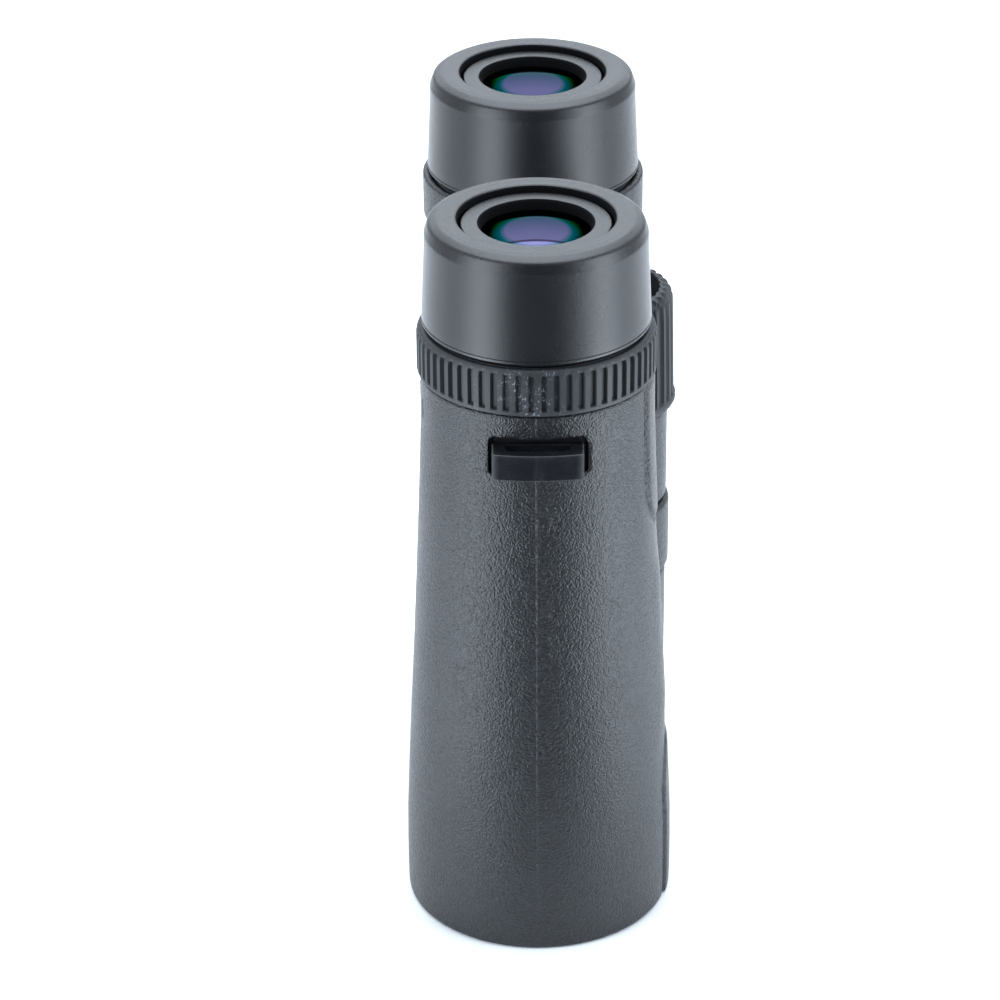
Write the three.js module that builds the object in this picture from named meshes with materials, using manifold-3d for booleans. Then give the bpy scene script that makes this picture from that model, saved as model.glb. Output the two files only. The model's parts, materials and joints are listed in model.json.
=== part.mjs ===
// Roof-prism binoculars with internal focusing, standing on their objective ends.
// Millimetres. +Z runs up towards the eyepieces, the two barrels stand side by side along X,
// and the side with the focus wheel faces -Y. The wearer's right barrel is the one at -X.
// The origin lies on the table, midway between the two barrels.
import * as THREE from "three";
import { mergeVertices } from "three/addons/utils/BufferGeometryUtils.js";
import Module from "manifold-3d";

const wasm = await Module();
wasm.setup();

// ---------------------------------------------------------------- driving dimensions

// Clearances
const gap = 0.3; // between two pieces that are fixed to each other
const slip = 0.35; // round a piece that turns or slides
const seam = 0.4; // between two pieces whose edges meet on the outside

// Barrels
const barrelLength = 114.6; // table to the top edge of the right armour
const objectiveRadius = 21; // 42 mm objective lens
const seatWall = 1.1; // objective seat, outside the lens
const frontWall = 1.8; // body shell outside the objective's retaining ring
const bodyWall = 3; // body shell round the eyepiece seat
const armourWall = 1.6; // rubber armour
const frontLip = 2.2; // height of the rubber lip in front of the body shell
const edgeRound = 0.8; // rounding of the armour's front edge
const hoodLength = 18; // straight front part, before the taper
const straightTop = 8.4; // straight top part, after the taper

// Objective
const recess = 5.2; // table to the retaining ring
const ringHeight = 2.5;
const ringWidth = 1.7;
const lensEdge = 3; // edge thickness of each of the two objective lenses
const objectiveBulge = 2.6; // height of the curve of the front lens
const cementBulge = 1.6; // depth of the curve between the two lenses
const sealPlay = 0.3; // between the two lenses

// Focusing lens, its cell and its arm
const focusBoreRadius = 18.9;
const focusSleeveWall = 2.2;
const focusCellHeight = 18;
const focusSeatWidth = 3.1; // lens seat, inwards from the sleeve
const focusSeatHeight = 5;
const focusLensHeight = 4;
const focusTravel = 2.25; // either way
const armThickness = 3;
const armWidth = 6;
const armTongue = 1.2; // length of the arm that lies in its cell

// Prisms
const prismBayRadius = 17.1;
const prismAperture = 20;
const prismThickness = 14;
const prismAir = 0.8; // air space between the two prisms
const cageWall = 2;
const innerRim = 1.2; // thickness of the two rims that part the prism bay from its neighbours
const innerRimWidth = 2;

// Eyepiece, counted outwards from the eye lens
const eyeLensRadius = 10.9;
const eyeLensEdge = 3; // edge thickness
const eyeLensBulge = 2.2;
const bezelLap = 0.7; // how far the bezel covers the eye lens
const bezelSlope = 0.7; // how much wider the bezel's mouth is than its foot
const ocularLedge = 2; // height of the ledge under the eye lens
const bezelHeight = 2.1;
const bezelDrop = 1.3; // eyecup's rim to the bezel
const tubeWall = 2.9;
const tubeStep = 0.7; // the eyepiece tube is this much wider below the eye lens
const eyepieceFlange = 1.9; // the flange in the body is this much wider than the tube
const ocularBoreRadius = 11.8;
const ocularCellWall = 1.6;
const ocularCellHeight = 12;
const ocularTravel = 1; // either way, by the dioptre ring
const neckWall = 1.8; // top of the body shell, inside the dioptre ring
const dioptreCoreWall = 1.5;
const dioptreGripWall = 1.65;
const dioptreHeight = 9.1;
const dioptreRibs = 60;
const dioptreRibDepth = 0.7;

// Eyecups
const eyecupHeight = 20.9;
const eyecupSeam = 0.5; // between the eyecup and the ring below it
const collarWall = 1.3;
const eyecupTravel = 8; // how far an eyecup rises as it is twisted out
const collarLap = 5; // length of the collar that stays inside the raised eyecup
const shellWall = 2.5;
const rubberWall = 2;
const rubberTaper = 0.7; // the eyecup's top is this much narrower than its foot
const rimRound = 2; // rounding of the eyecup's rim
const rimFall = 0.4; // how much lower the rim's inner edge is than its crown

// Strap lugs
const lugProud = 2.4; // armour to the bar's ends
const lugWidth = 17;
const lugHeight = 5.3;
const lugSlotWidth = 11.9;
const lugBar = 1.9; // thickness of the bar
const lugSlot = 2.6; // depth of the strap slot behind the bar
const lugPlate = 1; // plate at the back of the slot
const lugBow = 0.8; // the bar's middle stands this much further out than its ends
const lugDrop = 6.5; // armour's top edge to the top of the bar
const pocketHead = 1.8; // open pocket above the bar
const pocketFoot = 0.5; // open pocket below the bar
const pocketSide = 0.7; // open pocket either side of the bar

// Hinge
const hingeRise = 13; // hinge axis to the plane of the two barrels
const hingeDrop = 25.3; // armour's top edge to the top of the hinge
const upperKnuckle = 20.4; // heights of the three knuckles
const middleKnuckle = 15.3;
const lowerKnuckle = 21.6;
const knuckleRadius = 13.5;
const middleKnuckleRadius = 14.1;
const knuckleClearance = 0.6; // between the lower knuckle and the other barrel
const webDorsal = 11.6; // half widths of the web between knuckle and barrel
const webVentral = 8.5;
const axleRadius = 7;
const axleWall = 1.8;
const washerWidth = 3;
const washerHeight = 0.9;
const nutWidth = 2.4;
const nutHeight = 3.4;
const capWidth = 10.2;
const capHeight = 2;
const foldAngle = 50; // degrees that the right barrel swings from open to folded

// Focus wheel
const wheelHeight = 24.5;
const wheelGap = 0.7; // above the hinge
const wheelRadius = 15.1;
const wheelChamfer = 1.2;
const wheelRibs = 36;
const wheelRibDepth = 0.7;
const gripWall = 2.5;
const hubWeb = 2.5; // web of the hub that carries the screw
const hubRecess = 5; // depth of the hub above its web
const wheelRim = 5; // height of the grip above the hub
const screwRadius = 3;
const screwLength = 25;
const screwHead = 1.6;
const coverHeight = 2;
const rodFlange = 1.5; // foot of the rod, below its lower arm
const rodReach = 10; // free screw between the wheel's web and the raised rod
const rodEndPlay = 0.5; // below the screw's tip when the rod is raised

// ---------------------------------------------------------------- places that follow

// Radii of the eyepiece, from the eye lens outwards
const tubeRadius = eyeLensRadius + gap + tubeWall;
const lowerTubeRadius = tubeRadius + tubeStep;
const collarInner = lowerTubeRadius + slip;
const collarOuter = collarInner + collarWall;
const shellInner = collarOuter + slip;
const shellOuter = shellInner + shellWall;
const rubberInner = shellOuter + gap;
const rubberFoot = rubberInner + rubberWall;
const rubberTop = rubberFoot - rubberTaper;
const flangeRadius = lowerTubeRadius + eyepieceFlange;
const eyepieceSeat = flangeRadius + gap;
const neckRadius = eyepieceSeat + neckWall;
const dioptreInner = neckRadius + slip;
const dioptreCoreOuter = dioptreInner + dioptreCoreWall;
const dioptreGripInner = dioptreCoreOuter + gap;
const dioptreOuter = dioptreGripInner + dioptreGripWall;

// Radii of the barrel
const topRadius = eyepieceSeat + bodyWall + gap + armourWall;
const lensSeat = objectiveRadius + gap;
const ringSeat = lensSeat + seatWall;
const frontRadius = ringSeat + frontWall + gap + armourWall;

// Heights
const dioptreFoot = barrelLength + gap;
const dioptreTop = dioptreFoot + dioptreHeight;
const eyecupFoot = dioptreTop + eyecupSeam;
const eyecupTop = eyecupFoot + eyecupHeight;
const bezelTop = eyecupTop - bezelDrop;
const bezelFoot = bezelTop - bezelHeight;
const eyeLensTop = bezelFoot - gap;
const eyeLensFoot = eyeLensTop - eyeLensEdge;
const lensFoot = recess + ringHeight + gap;
const lensTop = lensFoot + 2 * lensEdge + sealPlay;
const hingeTop = barrelLength - hingeDrop;
const upperKnuckleFoot = hingeTop - upperKnuckle;
const middleKnuckleTop = upperKnuckleFoot - seam;
const middleKnuckleFoot = middleKnuckleTop - middleKnuckle;
const lowerKnuckleTop = middleKnuckleFoot - seam;
const hingeFoot = lowerKnuckleTop - lowerKnuckle;
const focusCentre = middleKnuckleFoot; // the focusing cell's middle, level with the knuckles' seam
const leftArmCentre = lowerKnuckleTop - focusTravel - armThickness / 2 - 2;
const rightArmCentre = middleKnuckleFoot + focusTravel + armThickness / 2 + 2;
const focusBoreFoot = focusCentre - focusCellHeight / 2 - focusTravel - slip;
const focusBoreTop = focusCentre + focusCellHeight / 2 + focusTravel + slip;
const prismHalf = prismAperture / 2;
const prismLean = prismHalf * 0.4; // how far a prism's slanted end reaches beyond its aperture
const prismHeight = prismAperture + prismLean + prismAperture / 3;
const cageHeight = prismHeight + 2 * (cageWall + gap);
const prismFoot = focusBoreTop + innerRim + gap;
const prismTop = prismFoot + cageHeight + gap;
const flangeFoot = prismTop + innerRim + gap;
const flangeTop = dioptreTop - gap;
const lugTop = barrelLength - lugDrop;
const lugFoot = lugTop - lugHeight;
const wheelFoot = hingeTop + wheelGap;
const wheelTop = wheelFoot + wheelHeight;
const hubTop = wheelTop - wheelRim;
const hubFloor = hubTop - hubRecess; // top of the hub's web
const axleTop = hubFloor - hubWeb - slip;
const axleFoot = hingeFoot + armourWall + gap;

// The outside of the armour at a height: straight, tapered, straight.
function barrelRadius(z) {
  const share = (z - hoodLength) / (barrelLength - straightTop - hoodLength);
  return THREE.MathUtils.lerp(frontRadius, topRadius, THREE.MathUtils.clamp(share, 0, 1));
}

// The hinge stands clear of the widest barrel beside its lower knuckle.
const hingeReach = barrelRadius(hingeFoot) + knuckleRadius + knuckleClearance;
const eyeSpacing = 2 * Math.sqrt(hingeReach ** 2 - hingeRise ** 2);
const boreRadius = axleRadius + slip;

// ---------------------------------------------------------------- materials

const finish = (color, roughness, metalness = 0) =>
  new THREE.MeshStandardMaterial({ color, roughness, metalness });
const finishes = {
  armour: finish(0x2f3338, 0.62),
  eyecupRubber: finish(0x2a2c30, 0.45),
  gripRubber: finish(0x25282b, 0.6),
  blackPlastic: finish(0x1b1c1e, 0.4),
  lugPlastic: finish(0x232528, 0.35),
  blackMetal: finish(0x151618, 0.5, 0.6),
  steel: finish(0x9a9c9f, 0.3, 1),
  brass: finish(0xb08d4c, 0.35, 1),
  coatedGlass: finish(0x6a5fa8, 0.05),
  prismGlass: finish(0xcfd8dc, 0.05),
};

// ---------------------------------------------------------------- making solids

const fineSides = 32; // outside pieces
const plainSides = 16; // inside pieces
const lensSteps = 2; // steps in a lens curve

// A turned piece from its [radius, height] corners, about the Z axis.
// The outline starts and ends on the axis, or closes on itself.
function turned(corners, sides = plainSides) {
  const points = corners.map(([r, z]) => new THREE.Vector2(r, z));
  if (THREE.ShapeUtils.area(points) < 0) points.reverse();
  const meetsAxis = points[0].x === 0 && points.at(-1).x === 0;
  if (!meetsAxis) points.push(points[0].clone());
  return new THREE.LatheGeometry(points, sides).rotateX(Math.PI / 2);
}

// A plain ring between two radii and two heights.
function ring(inner, outer, foot, top, sides = plainSides) {
  return turned([[inner, foot], [outer, foot], [outer, top], [inner, top]], sides);
}

// A plain disc or rod.
function disc(radius, foot, top, sides = plainSides) {
  return turned([[0, foot], [radius, foot], [radius, top], [0, top]], sides);
}

// An upright block from its plan outline.
function upright(outline, foot, top) {
  const shape = new THREE.Shape(outline.map(([x, y]) => new THREE.Vector2(x, y)));
  const options = { depth: top - foot, bevelEnabled: false };
  return new THREE.ExtrudeGeometry(shape, options).translate(0, 0, foot);
}

// A rectangular block from its middle and its sizes.
function block(x, y, z, sizeX, sizeY, sizeZ) {
  return new THREE.BoxGeometry(sizeX, sizeY, sizeZ).translate(x, y, z);
}

// A closed geometry as a solid that can be joined and cut.
function solid(geometry) {
  const bare = new THREE.BufferGeometry();
  bare.setAttribute("position", geometry.getAttribute("position"));
  bare.setIndex(geometry.index);
  const merged = mergeVertices(bare, 1e-4);
  return new wasm.Manifold(
    new wasm.Mesh({
      numProp: 3,
      vertProperties: merged.attributes.position.array,
      triVerts: new Uint32Array(merged.index.array),
    }),
  );
}

// A geometry with others joined to it and then others cut out of it.
function shaped(base, joined = [], cuts = []) {
  let made = solid(base);
  for (const piece of joined) made = made.add(solid(piece));
  for (const piece of cuts) made = made.subtract(solid(piece));
  const mesh = made.getMesh();
  const geometry = new THREE.BufferGeometry();
  geometry.setAttribute("position", new THREE.BufferAttribute(mesh.vertProperties, 3));
  geometry.setIndex(new THREE.BufferAttribute(mesh.triVerts, 1));
  geometry.computeVertexNormals();
  return geometry;
}

function piece(name, geometry, material) {
  const mesh = new THREE.Mesh(geometry, material);
  mesh.name = name;
  return mesh;
}

// [radius, height] points of a lens face, from its rim to the axis. A positive bulge rises.
function lensFace(radius, height, bulge) {
  const points = [];
  for (let i = 0; i <= lensSteps; i++) {
    const share = 1 - i / lensSteps;
    points.push([radius * share, height + bulge * (1 - share ** 2)]);
  }
  return points;
}

// A lens between a lower and an upper face, each with its own bulge.
function lens(radius, foot, top, footBulge, topBulge) {
  const lower = lensFace(radius, foot, footBulge).reverse();
  return turned([...lower, ...lensFace(radius, top, topBulge)]);
}

// ---------------------------------------------------------------- barrels
// side is 1 for the left barrel, at +X, and -1 for the right one. Each barrel is made about its own axis.

// The hinge axis, seen from a barrel's axis.
const hingePoint = (side) => new THREE.Vector2((-side * eyeSpacing) / 2, -hingeRise);

// The knuckles of a barrel. Where a knuckle ends the hinge, the armour covers its end.
function knuckles(side) {
  if (side < 0)
    return [{ foot: middleKnuckleFoot, top: middleKnuckleTop, radius: middleKnuckleRadius }];
  return [
    { foot: upperKnuckleFoot, top: hingeTop, radius: knuckleRadius, coverTop: true },
    { foot: hingeFoot, top: lowerKnuckleTop, radius: knuckleRadius, coverFoot: true },
  ];
}

// A knuckle with its web to the barrel, drawn in by inset on its outside and at its covered ends.
function knuckleParts(side, knuckle, inset, overrun = 0) {
  const at = hingePoint(side);
  const along = at.clone().negate().normalize();
  const dorsal = new THREE.Vector2(along.y, -along.x).multiplyScalar(side);
  const corner = (start, width) => {
    const point = start.clone().addScaledVector(dorsal, width);
    return [point.x, point.y];
  };
  const middle = new THREE.Vector2(0, 0);
  const outline = [
    corner(at, webDorsal - inset),
    corner(middle, webDorsal - inset),
    corner(middle, inset - webVentral),
    corner(at, inset - webVentral),
  ];
  const foot = knuckle.foot + (knuckle.coverFoot ? inset : -overrun);
  const top = knuckle.top - (knuckle.coverTop ? inset : -overrun);
  const barrel = disc(knuckle.radius - inset, foot, top, fineSides);
  return [upright(outline, foot, top), barrel.translate(at.x, at.y, 0)];
}

// The armour's outside, from the table to its top edge.
function armourOutline(side) {
  const corners = [[frontRadius - edgeRound, 0]];
  for (const angle of [30, 60, 90]) {
    const turn = THREE.MathUtils.degToRad(angle);
    corners.push([
      frontRadius - edgeRound * (1 - Math.sin(turn)),
      edgeRound * (1 - Math.cos(turn)),
    ]);
  }
  corners.push([frontRadius, hoodLength], [topRadius, barrelLength - straightTop]);
  if (side < 0) return [...corners, [topRadius, barrelLength]];
  const shoulder = barrelLength - gap; // the left armour carries a fixed band beside the dioptre ring
  return [
    ...corners,
    [topRadius, shoulder],
    [dioptreOuter, shoulder + gap],
    [dioptreOuter, dioptreTop],
  ];
}

// The armour's outside drawn in by inset, from a foot to a top.
function innerOutline(inset, foot, top) {
  return [
    [0, foot],
    [frontRadius - inset, foot],
    [frontRadius - inset, hoodLength],
    [topRadius - inset, barrelLength - straightTop],
    [topRadius - inset, top],
  ];
}

// The inside of the body shell, from the objective to the eyepiece seat.
function bodyBore() {
  return [
    [ringSeat, -1],
    [ringSeat, lensFoot],
    [lensSeat, lensFoot],
    [lensSeat, lensTop + gap],
    [objectiveRadius - seatWall, lensTop + gap],
    [focusBoreRadius, focusBoreFoot],
    [focusBoreRadius, focusBoreTop],
    [prismBayRadius - innerRimWidth, focusBoreTop],
    [prismBayRadius - innerRimWidth, focusBoreTop + innerRim],
    [prismBayRadius, focusBoreTop + innerRim],
    [prismBayRadius, prismTop],
    [prismBayRadius - innerRimWidth, prismTop],
    [prismBayRadius - innerRimWidth, flangeFoot - gap],
    [eyepieceSeat, flangeFoot - gap],
    [eyepieceSeat, dioptreTop + 1],
  ];
}

// A channel along the web that the focusing arm moves in.
function armChannel(side, centre) {
  const at = hingePoint(side);
  const height = armThickness + 2 * (focusTravel + slip);
  const channel = block(hingeReach / 2, 0, 0, hingeReach, armWidth + 2 * slip, height);
  return channel.rotateZ(Math.atan2(-at.y, -at.x)).translate(at.x, at.y, centre);
}

// The pocket for the strap lug, deep enough for its back plate.
const lugFace = topRadius + lugProud; // barrel axis to the bar's ends
const lugBack = lugFace - lugBar - lugSlot; // back of the strap slot
const lugCentre = (lugTop + pocketHead + lugFoot - pocketFoot) / 2;
function lugPocket(side) {
  const depth = lugBack - lugPlate - gap;
  const width = lugWidth + 2 * pocketSide;
  const height = lugHeight + pocketHead + pocketFoot;
  return block(side * (depth + lugFace) / 2, 0, lugCentre, lugFace + 4 - depth, width, height);
}

function bodyShell(side, name) {
  const at = hingePoint(side);
  const bore = [...bodyBore(), [0, dioptreTop + 1], [0, -1]];
  const webs = knuckles(side).flatMap((knuckle) => knuckleParts(side, knuckle, armourWall + gap));
  const cuts = [
    turned(bore, fineSides),
    disc(boreRadius, hingeFoot - 1, hingeTop + 1, plainSides).translate(at.x, at.y, 0),
    armChannel(side, side < 0 ? rightArmCentre : leftArmCentre),
    lugPocket(side),
  ];
  const sink = washerHeight + 2 * gap - seam; // counterbore for a washer
  const sinkRadius = axleRadius + slip + washerWidth + gap;
  if (side < 0)
    for (const [foot, top] of [
      [middleKnuckleTop - sink, middleKnuckleTop + 1],
      [middleKnuckleFoot - 1, middleKnuckleFoot + sink],
    ])
      cuts.push(disc(sinkRadius, foot, top).translate(at.x, at.y, 0));
  const outline = innerOutline(armourWall + gap, frontLip, side < 0 ? barrelLength : dioptreTop);
  if (side < 0) outline.push([neckRadius, barrelLength], [neckRadius, dioptreTop]);
  outline.push([0, dioptreTop]);
  return piece(name, shaped(turned(outline, fineSides), webs, cuts), finishes.blackPlastic);
}

function armour(side, name) {
  const at = hingePoint(side);
  const top = side < 0 ? barrelLength : dioptreTop;
  const sleeve = turned([[0, 0], ...armourOutline(side), [0, top]], fineSides);
  const outer = knuckles(side).flatMap((knuckle) => knuckleParts(side, knuckle, 0));
  const inner = knuckles(side).flatMap((knuckle) => knuckleParts(side, knuckle, armourWall, gap));
  const core = [...innerOutline(armourWall, frontLip - gap, top + 1), [0, top + 1]];
  const cuts = [
    turned(core, fineSides),
    disc(ringSeat, -1, frontLip + 1, fineSides),
    ...inner,
    disc(boreRadius, hingeFoot - 1, hingeTop + 1).translate(at.x, at.y, 0),
    lugPocket(side),
  ];
  return piece(name, shaped(sleeve, outer, cuts), finishes.armour);
}

// ---------------------------------------------------------------- optics of one barrel

function objectiveParts(prefix) {
  const seamHeight = lensFoot + lensEdge;
  return [
    piece(
      prefix + "objective_front_lens",
      lens(objectiveRadius, lensFoot, seamHeight, -objectiveBulge, cementBulge),
      finishes.coatedGlass,
    ),
    piece(
      prefix + "objective_rear_lens",
      lens(objectiveRadius, seamHeight + sealPlay, lensTop, cementBulge, cementBulge / 2),
      finishes.prismGlass,
    ),
    piece(
      prefix + "objective_retaining_ring",
      ring(ringSeat - gap - ringWidth, ringSeat - gap, recess, recess + ringHeight, fineSides),
      finishes.blackMetal,
    ),
  ];
}

function focusParts(side, prefix) {
  const at = hingePoint(side);
  const armCentre = side < 0 ? rightArmCentre : leftArmCentre;
  const outer = focusBoreRadius - slip;
  const sleeve = outer - focusSleeveWall;
  const inner = sleeve - focusSeatWidth;
  const foot = focusCentre - focusCellHeight / 2;
  const top = foot + focusCellHeight;
  const seat = focusSeatHeight / 2;
  const profile = [
    [sleeve, foot],
    [outer, foot],
    [outer, top],
    [sleeve, top],
    [sleeve, focusCentre + seat],
    [inner, focusCentre + seat],
    [inner, focusCentre - seat],
    [sleeve, focusCentre - seat],
  ];
  const heading = Math.atan2(-at.y, -at.x);
  const tongueEnd = hingeReach - outer + armTongue;
  const notch = block(
    hingeReach - outer + armTongue / 2,
    0,
    0,
    armTongue + 2 * gap,
    armWidth + 2 * gap,
    armThickness + 2 * gap,
  );
  notch.rotateZ(heading).translate(at.x, at.y, armCentre);
  const cell = shaped(turned(profile), [], [notch]);
  const collarRadius = axleRadius - axleWall - slip;
  const bar = block(tongueEnd / 2, 0, 0, tongueEnd, armWidth, armThickness);
  const low = -armThickness / 2;
  const collar = disc(collarRadius, low, -low);
  const eye = disc(screwRadius + slip, low - 1, 1 - low);
  const arm = shaped(bar, [collar], [eye]);
  arm.rotateZ(heading).translate(at.x, at.y, armCentre);
  const half = focusLensHeight / 2;
  return [
    piece(prefix + "focus_cell", cell, finishes.blackMetal),
    piece(prefix + "focus_arm", arm, finishes.blackMetal),
    piece(
      prefix + "focus_lens",
      lens(inner - gap, focusCentre - half, focusCentre + half, half / 2, -half / 2),
      finishes.prismGlass,
    ),
  ];
}

// A flat prism from its outline across the barrel, [x, z] from its lower left corner of entry.
function prism(outline, foot) {
  const half = prismThickness / 2;
  return upright(outline, -half, half).rotateX(Math.PI / 2).translate(0, 0, foot);
}

function prismParts(prefix) {
  const half = prismHalf;
  const width = half + prismLean;
  const foot = prismFoot + cageWall + gap;
  const rise = prismAir * Math.SQRT2; // the air space, measured upwards
  const auxiliary = [
    [-half, 0],
    [half, 0],
    [width, prismLean * 2],
    [width, width + half],
  ];
  const roof = [
    [-width, rise],
    [-half - rise / 2, rise / 2],
    [width, width + half + rise],
    [half, prismHeight],
    [-half, prismHeight],
  ];
  const middle = prismFoot + cageHeight / 2;
  const pocket = [2 * (width + gap), prismThickness + 2 * gap, cageHeight - 2 * cageWall];
  const cage = shaped(
    disc(prismBayRadius - gap, prismFoot, prismFoot + cageHeight),
    [],
    [block(0, 0, middle, ...pocket), disc(half - 1, prismFoot - 1, prismFoot + cageHeight + 1)],
  );
  return [
    piece(prefix + "prism_cage", cage, finishes.blackMetal),
    piece(prefix + "auxiliary_prism", prism(auxiliary, foot), finishes.prismGlass),
    piece(prefix + "roof_prism", prism(roof, foot), finishes.prismGlass),
  ];
}

function eyepieceHousing(name) {
  const corners = [
    [ocularBoreRadius, flangeFoot],
    [flangeRadius, flangeFoot],
    [flangeRadius, flangeTop],
    [lowerTubeRadius, flangeTop],
    [lowerTubeRadius, eyeLensFoot],
    [tubeRadius, eyeLensFoot],
    [tubeRadius, bezelFoot - gap],
    [eyeLensRadius + gap, bezelFoot - gap],
    [eyeLensRadius + gap, eyeLensFoot - gap],
    [eyeLensRadius - bezelLap, eyeLensFoot - gap],
    [eyeLensRadius - bezelLap, eyeLensFoot - gap - ocularLedge],
    [ocularBoreRadius, eyeLensFoot - gap - ocularLedge],
  ];
  return piece(name, turned(corners, fineSides), finishes.blackPlastic);
}

const ocularCentre = flangeFoot + ocularCellHeight / 2 + ocularTravel + 2;

function ocularParts(prefix) {
  const outer = ocularBoreRadius - slip;
  const inner = outer - ocularCellWall;
  const foot = ocularCentre - ocularCellHeight / 2;
  const lensHalf = ocularCellHeight / 4;
  const mouth = eyeLensRadius - bezelLap;
  const bezel = [
    [mouth, bezelFoot],
    [tubeRadius, bezelFoot],
    [tubeRadius, bezelTop],
    [mouth + bezelSlope, bezelTop],
  ];
  return {
    cell: [
      piece(
        prefix + "ocular_cell",
        ring(inner, outer, foot, foot + ocularCellHeight),
        finishes.blackMetal,
      ),
      piece(
        prefix + "field_lens",
        lens(inner - gap, ocularCentre - lensHalf, ocularCentre + lensHalf, -1, 1),
        finishes.prismGlass,
      ),
    ],
    fixed: [
      piece(
        prefix + "eye_lens",
        lens(eyeLensRadius, eyeLensFoot, eyeLensTop - gap, -eyeLensBulge / 2, eyeLensBulge),
        finishes.coatedGlass,
      ),
      piece(
        prefix + "eyepiece_bezel",
        turned(bezel, fineSides),
        finishes.eyecupRubber,
      ),
    ],
  };
}

// ---------------------------------------------------------------- eyecups

function eyecupCollar(name) {
  const foot = eyecupFoot + gap;
  const geometry = ring(collarInner, collarOuter, foot, foot + eyecupTravel + collarLap, fineSides);
  return piece(name, geometry, finishes.blackPlastic);
}

function eyecupParts(prefix) {
  const lipInner = tubeRadius + slip + gap / 2;
  const shellTop = eyecupTop - rimRound;
  const shell = [
    [shellInner, eyecupFoot + gap],
    [shellOuter, eyecupFoot + gap],
    [shellOuter - rubberTaper, shellTop],
    [lowerTubeRadius + slip, shellTop],
    [lowerTubeRadius + slip, shellTop - shellWall],
    [shellInner, shellTop - shellWall],
  ];
  const rubber = [
    [rubberInner, eyecupFoot],
    [rubberFoot, eyecupFoot],
    [rubberTop, eyecupTop - rimRound],
  ];
  for (const angle of [30, 60, 90]) {
    const turn = THREE.MathUtils.degToRad(angle);
    rubber.push([
      rubberTop - rimRound * (1 - Math.cos(turn)),
      eyecupTop - rimRound * (1 - Math.sin(turn)),
    ]);
  }
  rubber.push(
    [lipInner, eyecupTop - rimFall],
    [lipInner, shellTop + gap],
    [rubberInner - rubberTaper, shellTop + gap],
  );
  return [
    piece(prefix + "eyecup_shell", turned(shell, fineSides), finishes.blackPlastic),
    piece(prefix + "eyecup_rubber", turned(rubber, fineSides), finishes.eyecupRubber),
  ];
}

// ---------------------------------------------------------------- dioptre ring and strap lugs

// A round outline with flat-topped ribs, as [x, y] corners.
function ribbed(radius, depth, ribs) {
  const corners = [];
  const pitch = (2 * Math.PI) / ribs;
  const steps = [
    [-0.18, radius],
    [0.18, radius],
    [0.3, radius - depth],
    [0.7, radius - depth],
  ];
  for (let i = 0; i < ribs; i++)
    for (const [share, r] of steps) {
      const angle = (i + share) * pitch;
      corners.push([r * Math.cos(angle), r * Math.sin(angle)]);
    }
  return corners;
}

function dioptreParts() {
  const core = ring(dioptreInner, dioptreCoreOuter, dioptreFoot, dioptreTop, fineSides);
  const grip = shaped(
    upright(ribbed(dioptreOuter, dioptreRibDepth, dioptreRibs), dioptreFoot, dioptreTop),
    [],
    [disc(dioptreGripInner, dioptreFoot - 1, dioptreTop + 1, fineSides)],
  );
  return [
    piece("dioptre_ring_core", core, finishes.blackPlastic),
    piece("dioptre_ring_grip", grip, finishes.gripRubber),
  ];
}

// A bowed bar on two legs, with a plate behind the strap slot.
function strapLug(side, name) {
  const half = lugWidth / 2;
  const bow = [];
  const steps = 6;
  for (let i = 0; i <= steps; i++) {
    const share = (2 * i) / steps - 1;
    bow.push([side * (lugFace + lugBow * (1 - share ** 2)), half * share]);
  }
  const back = lugBack - lugPlate;
  const outline = [[side * back, -half], ...bow, [side * back, half]];
  const slot = block(
    side * (lugBack + lugSlot / 2),
    0,
    (lugFoot + lugTop) / 2,
    lugSlot,
    lugSlotWidth,
    lugHeight + 2,
  );
  return piece(name, shaped(upright(outline, lugFoot, lugTop), [], [slot]), finishes.lugPlastic);
}

// ---------------------------------------------------------------- hinge and focus drive
// Both are made about the hinge axis.

// A sector of a disc, between two angles counted from +X.
function sector(radius, start, end, foot, top) {
  const corners = [[0, 0]];
  const steps = 6;
  for (let i = 0; i <= steps; i++) {
    const angle = THREE.MathUtils.lerp(start, end, i / steps);
    corners.push([radius * Math.cos(angle), radius * Math.sin(angle)]);
  }
  return upright(corners, foot, top);
}

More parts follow.
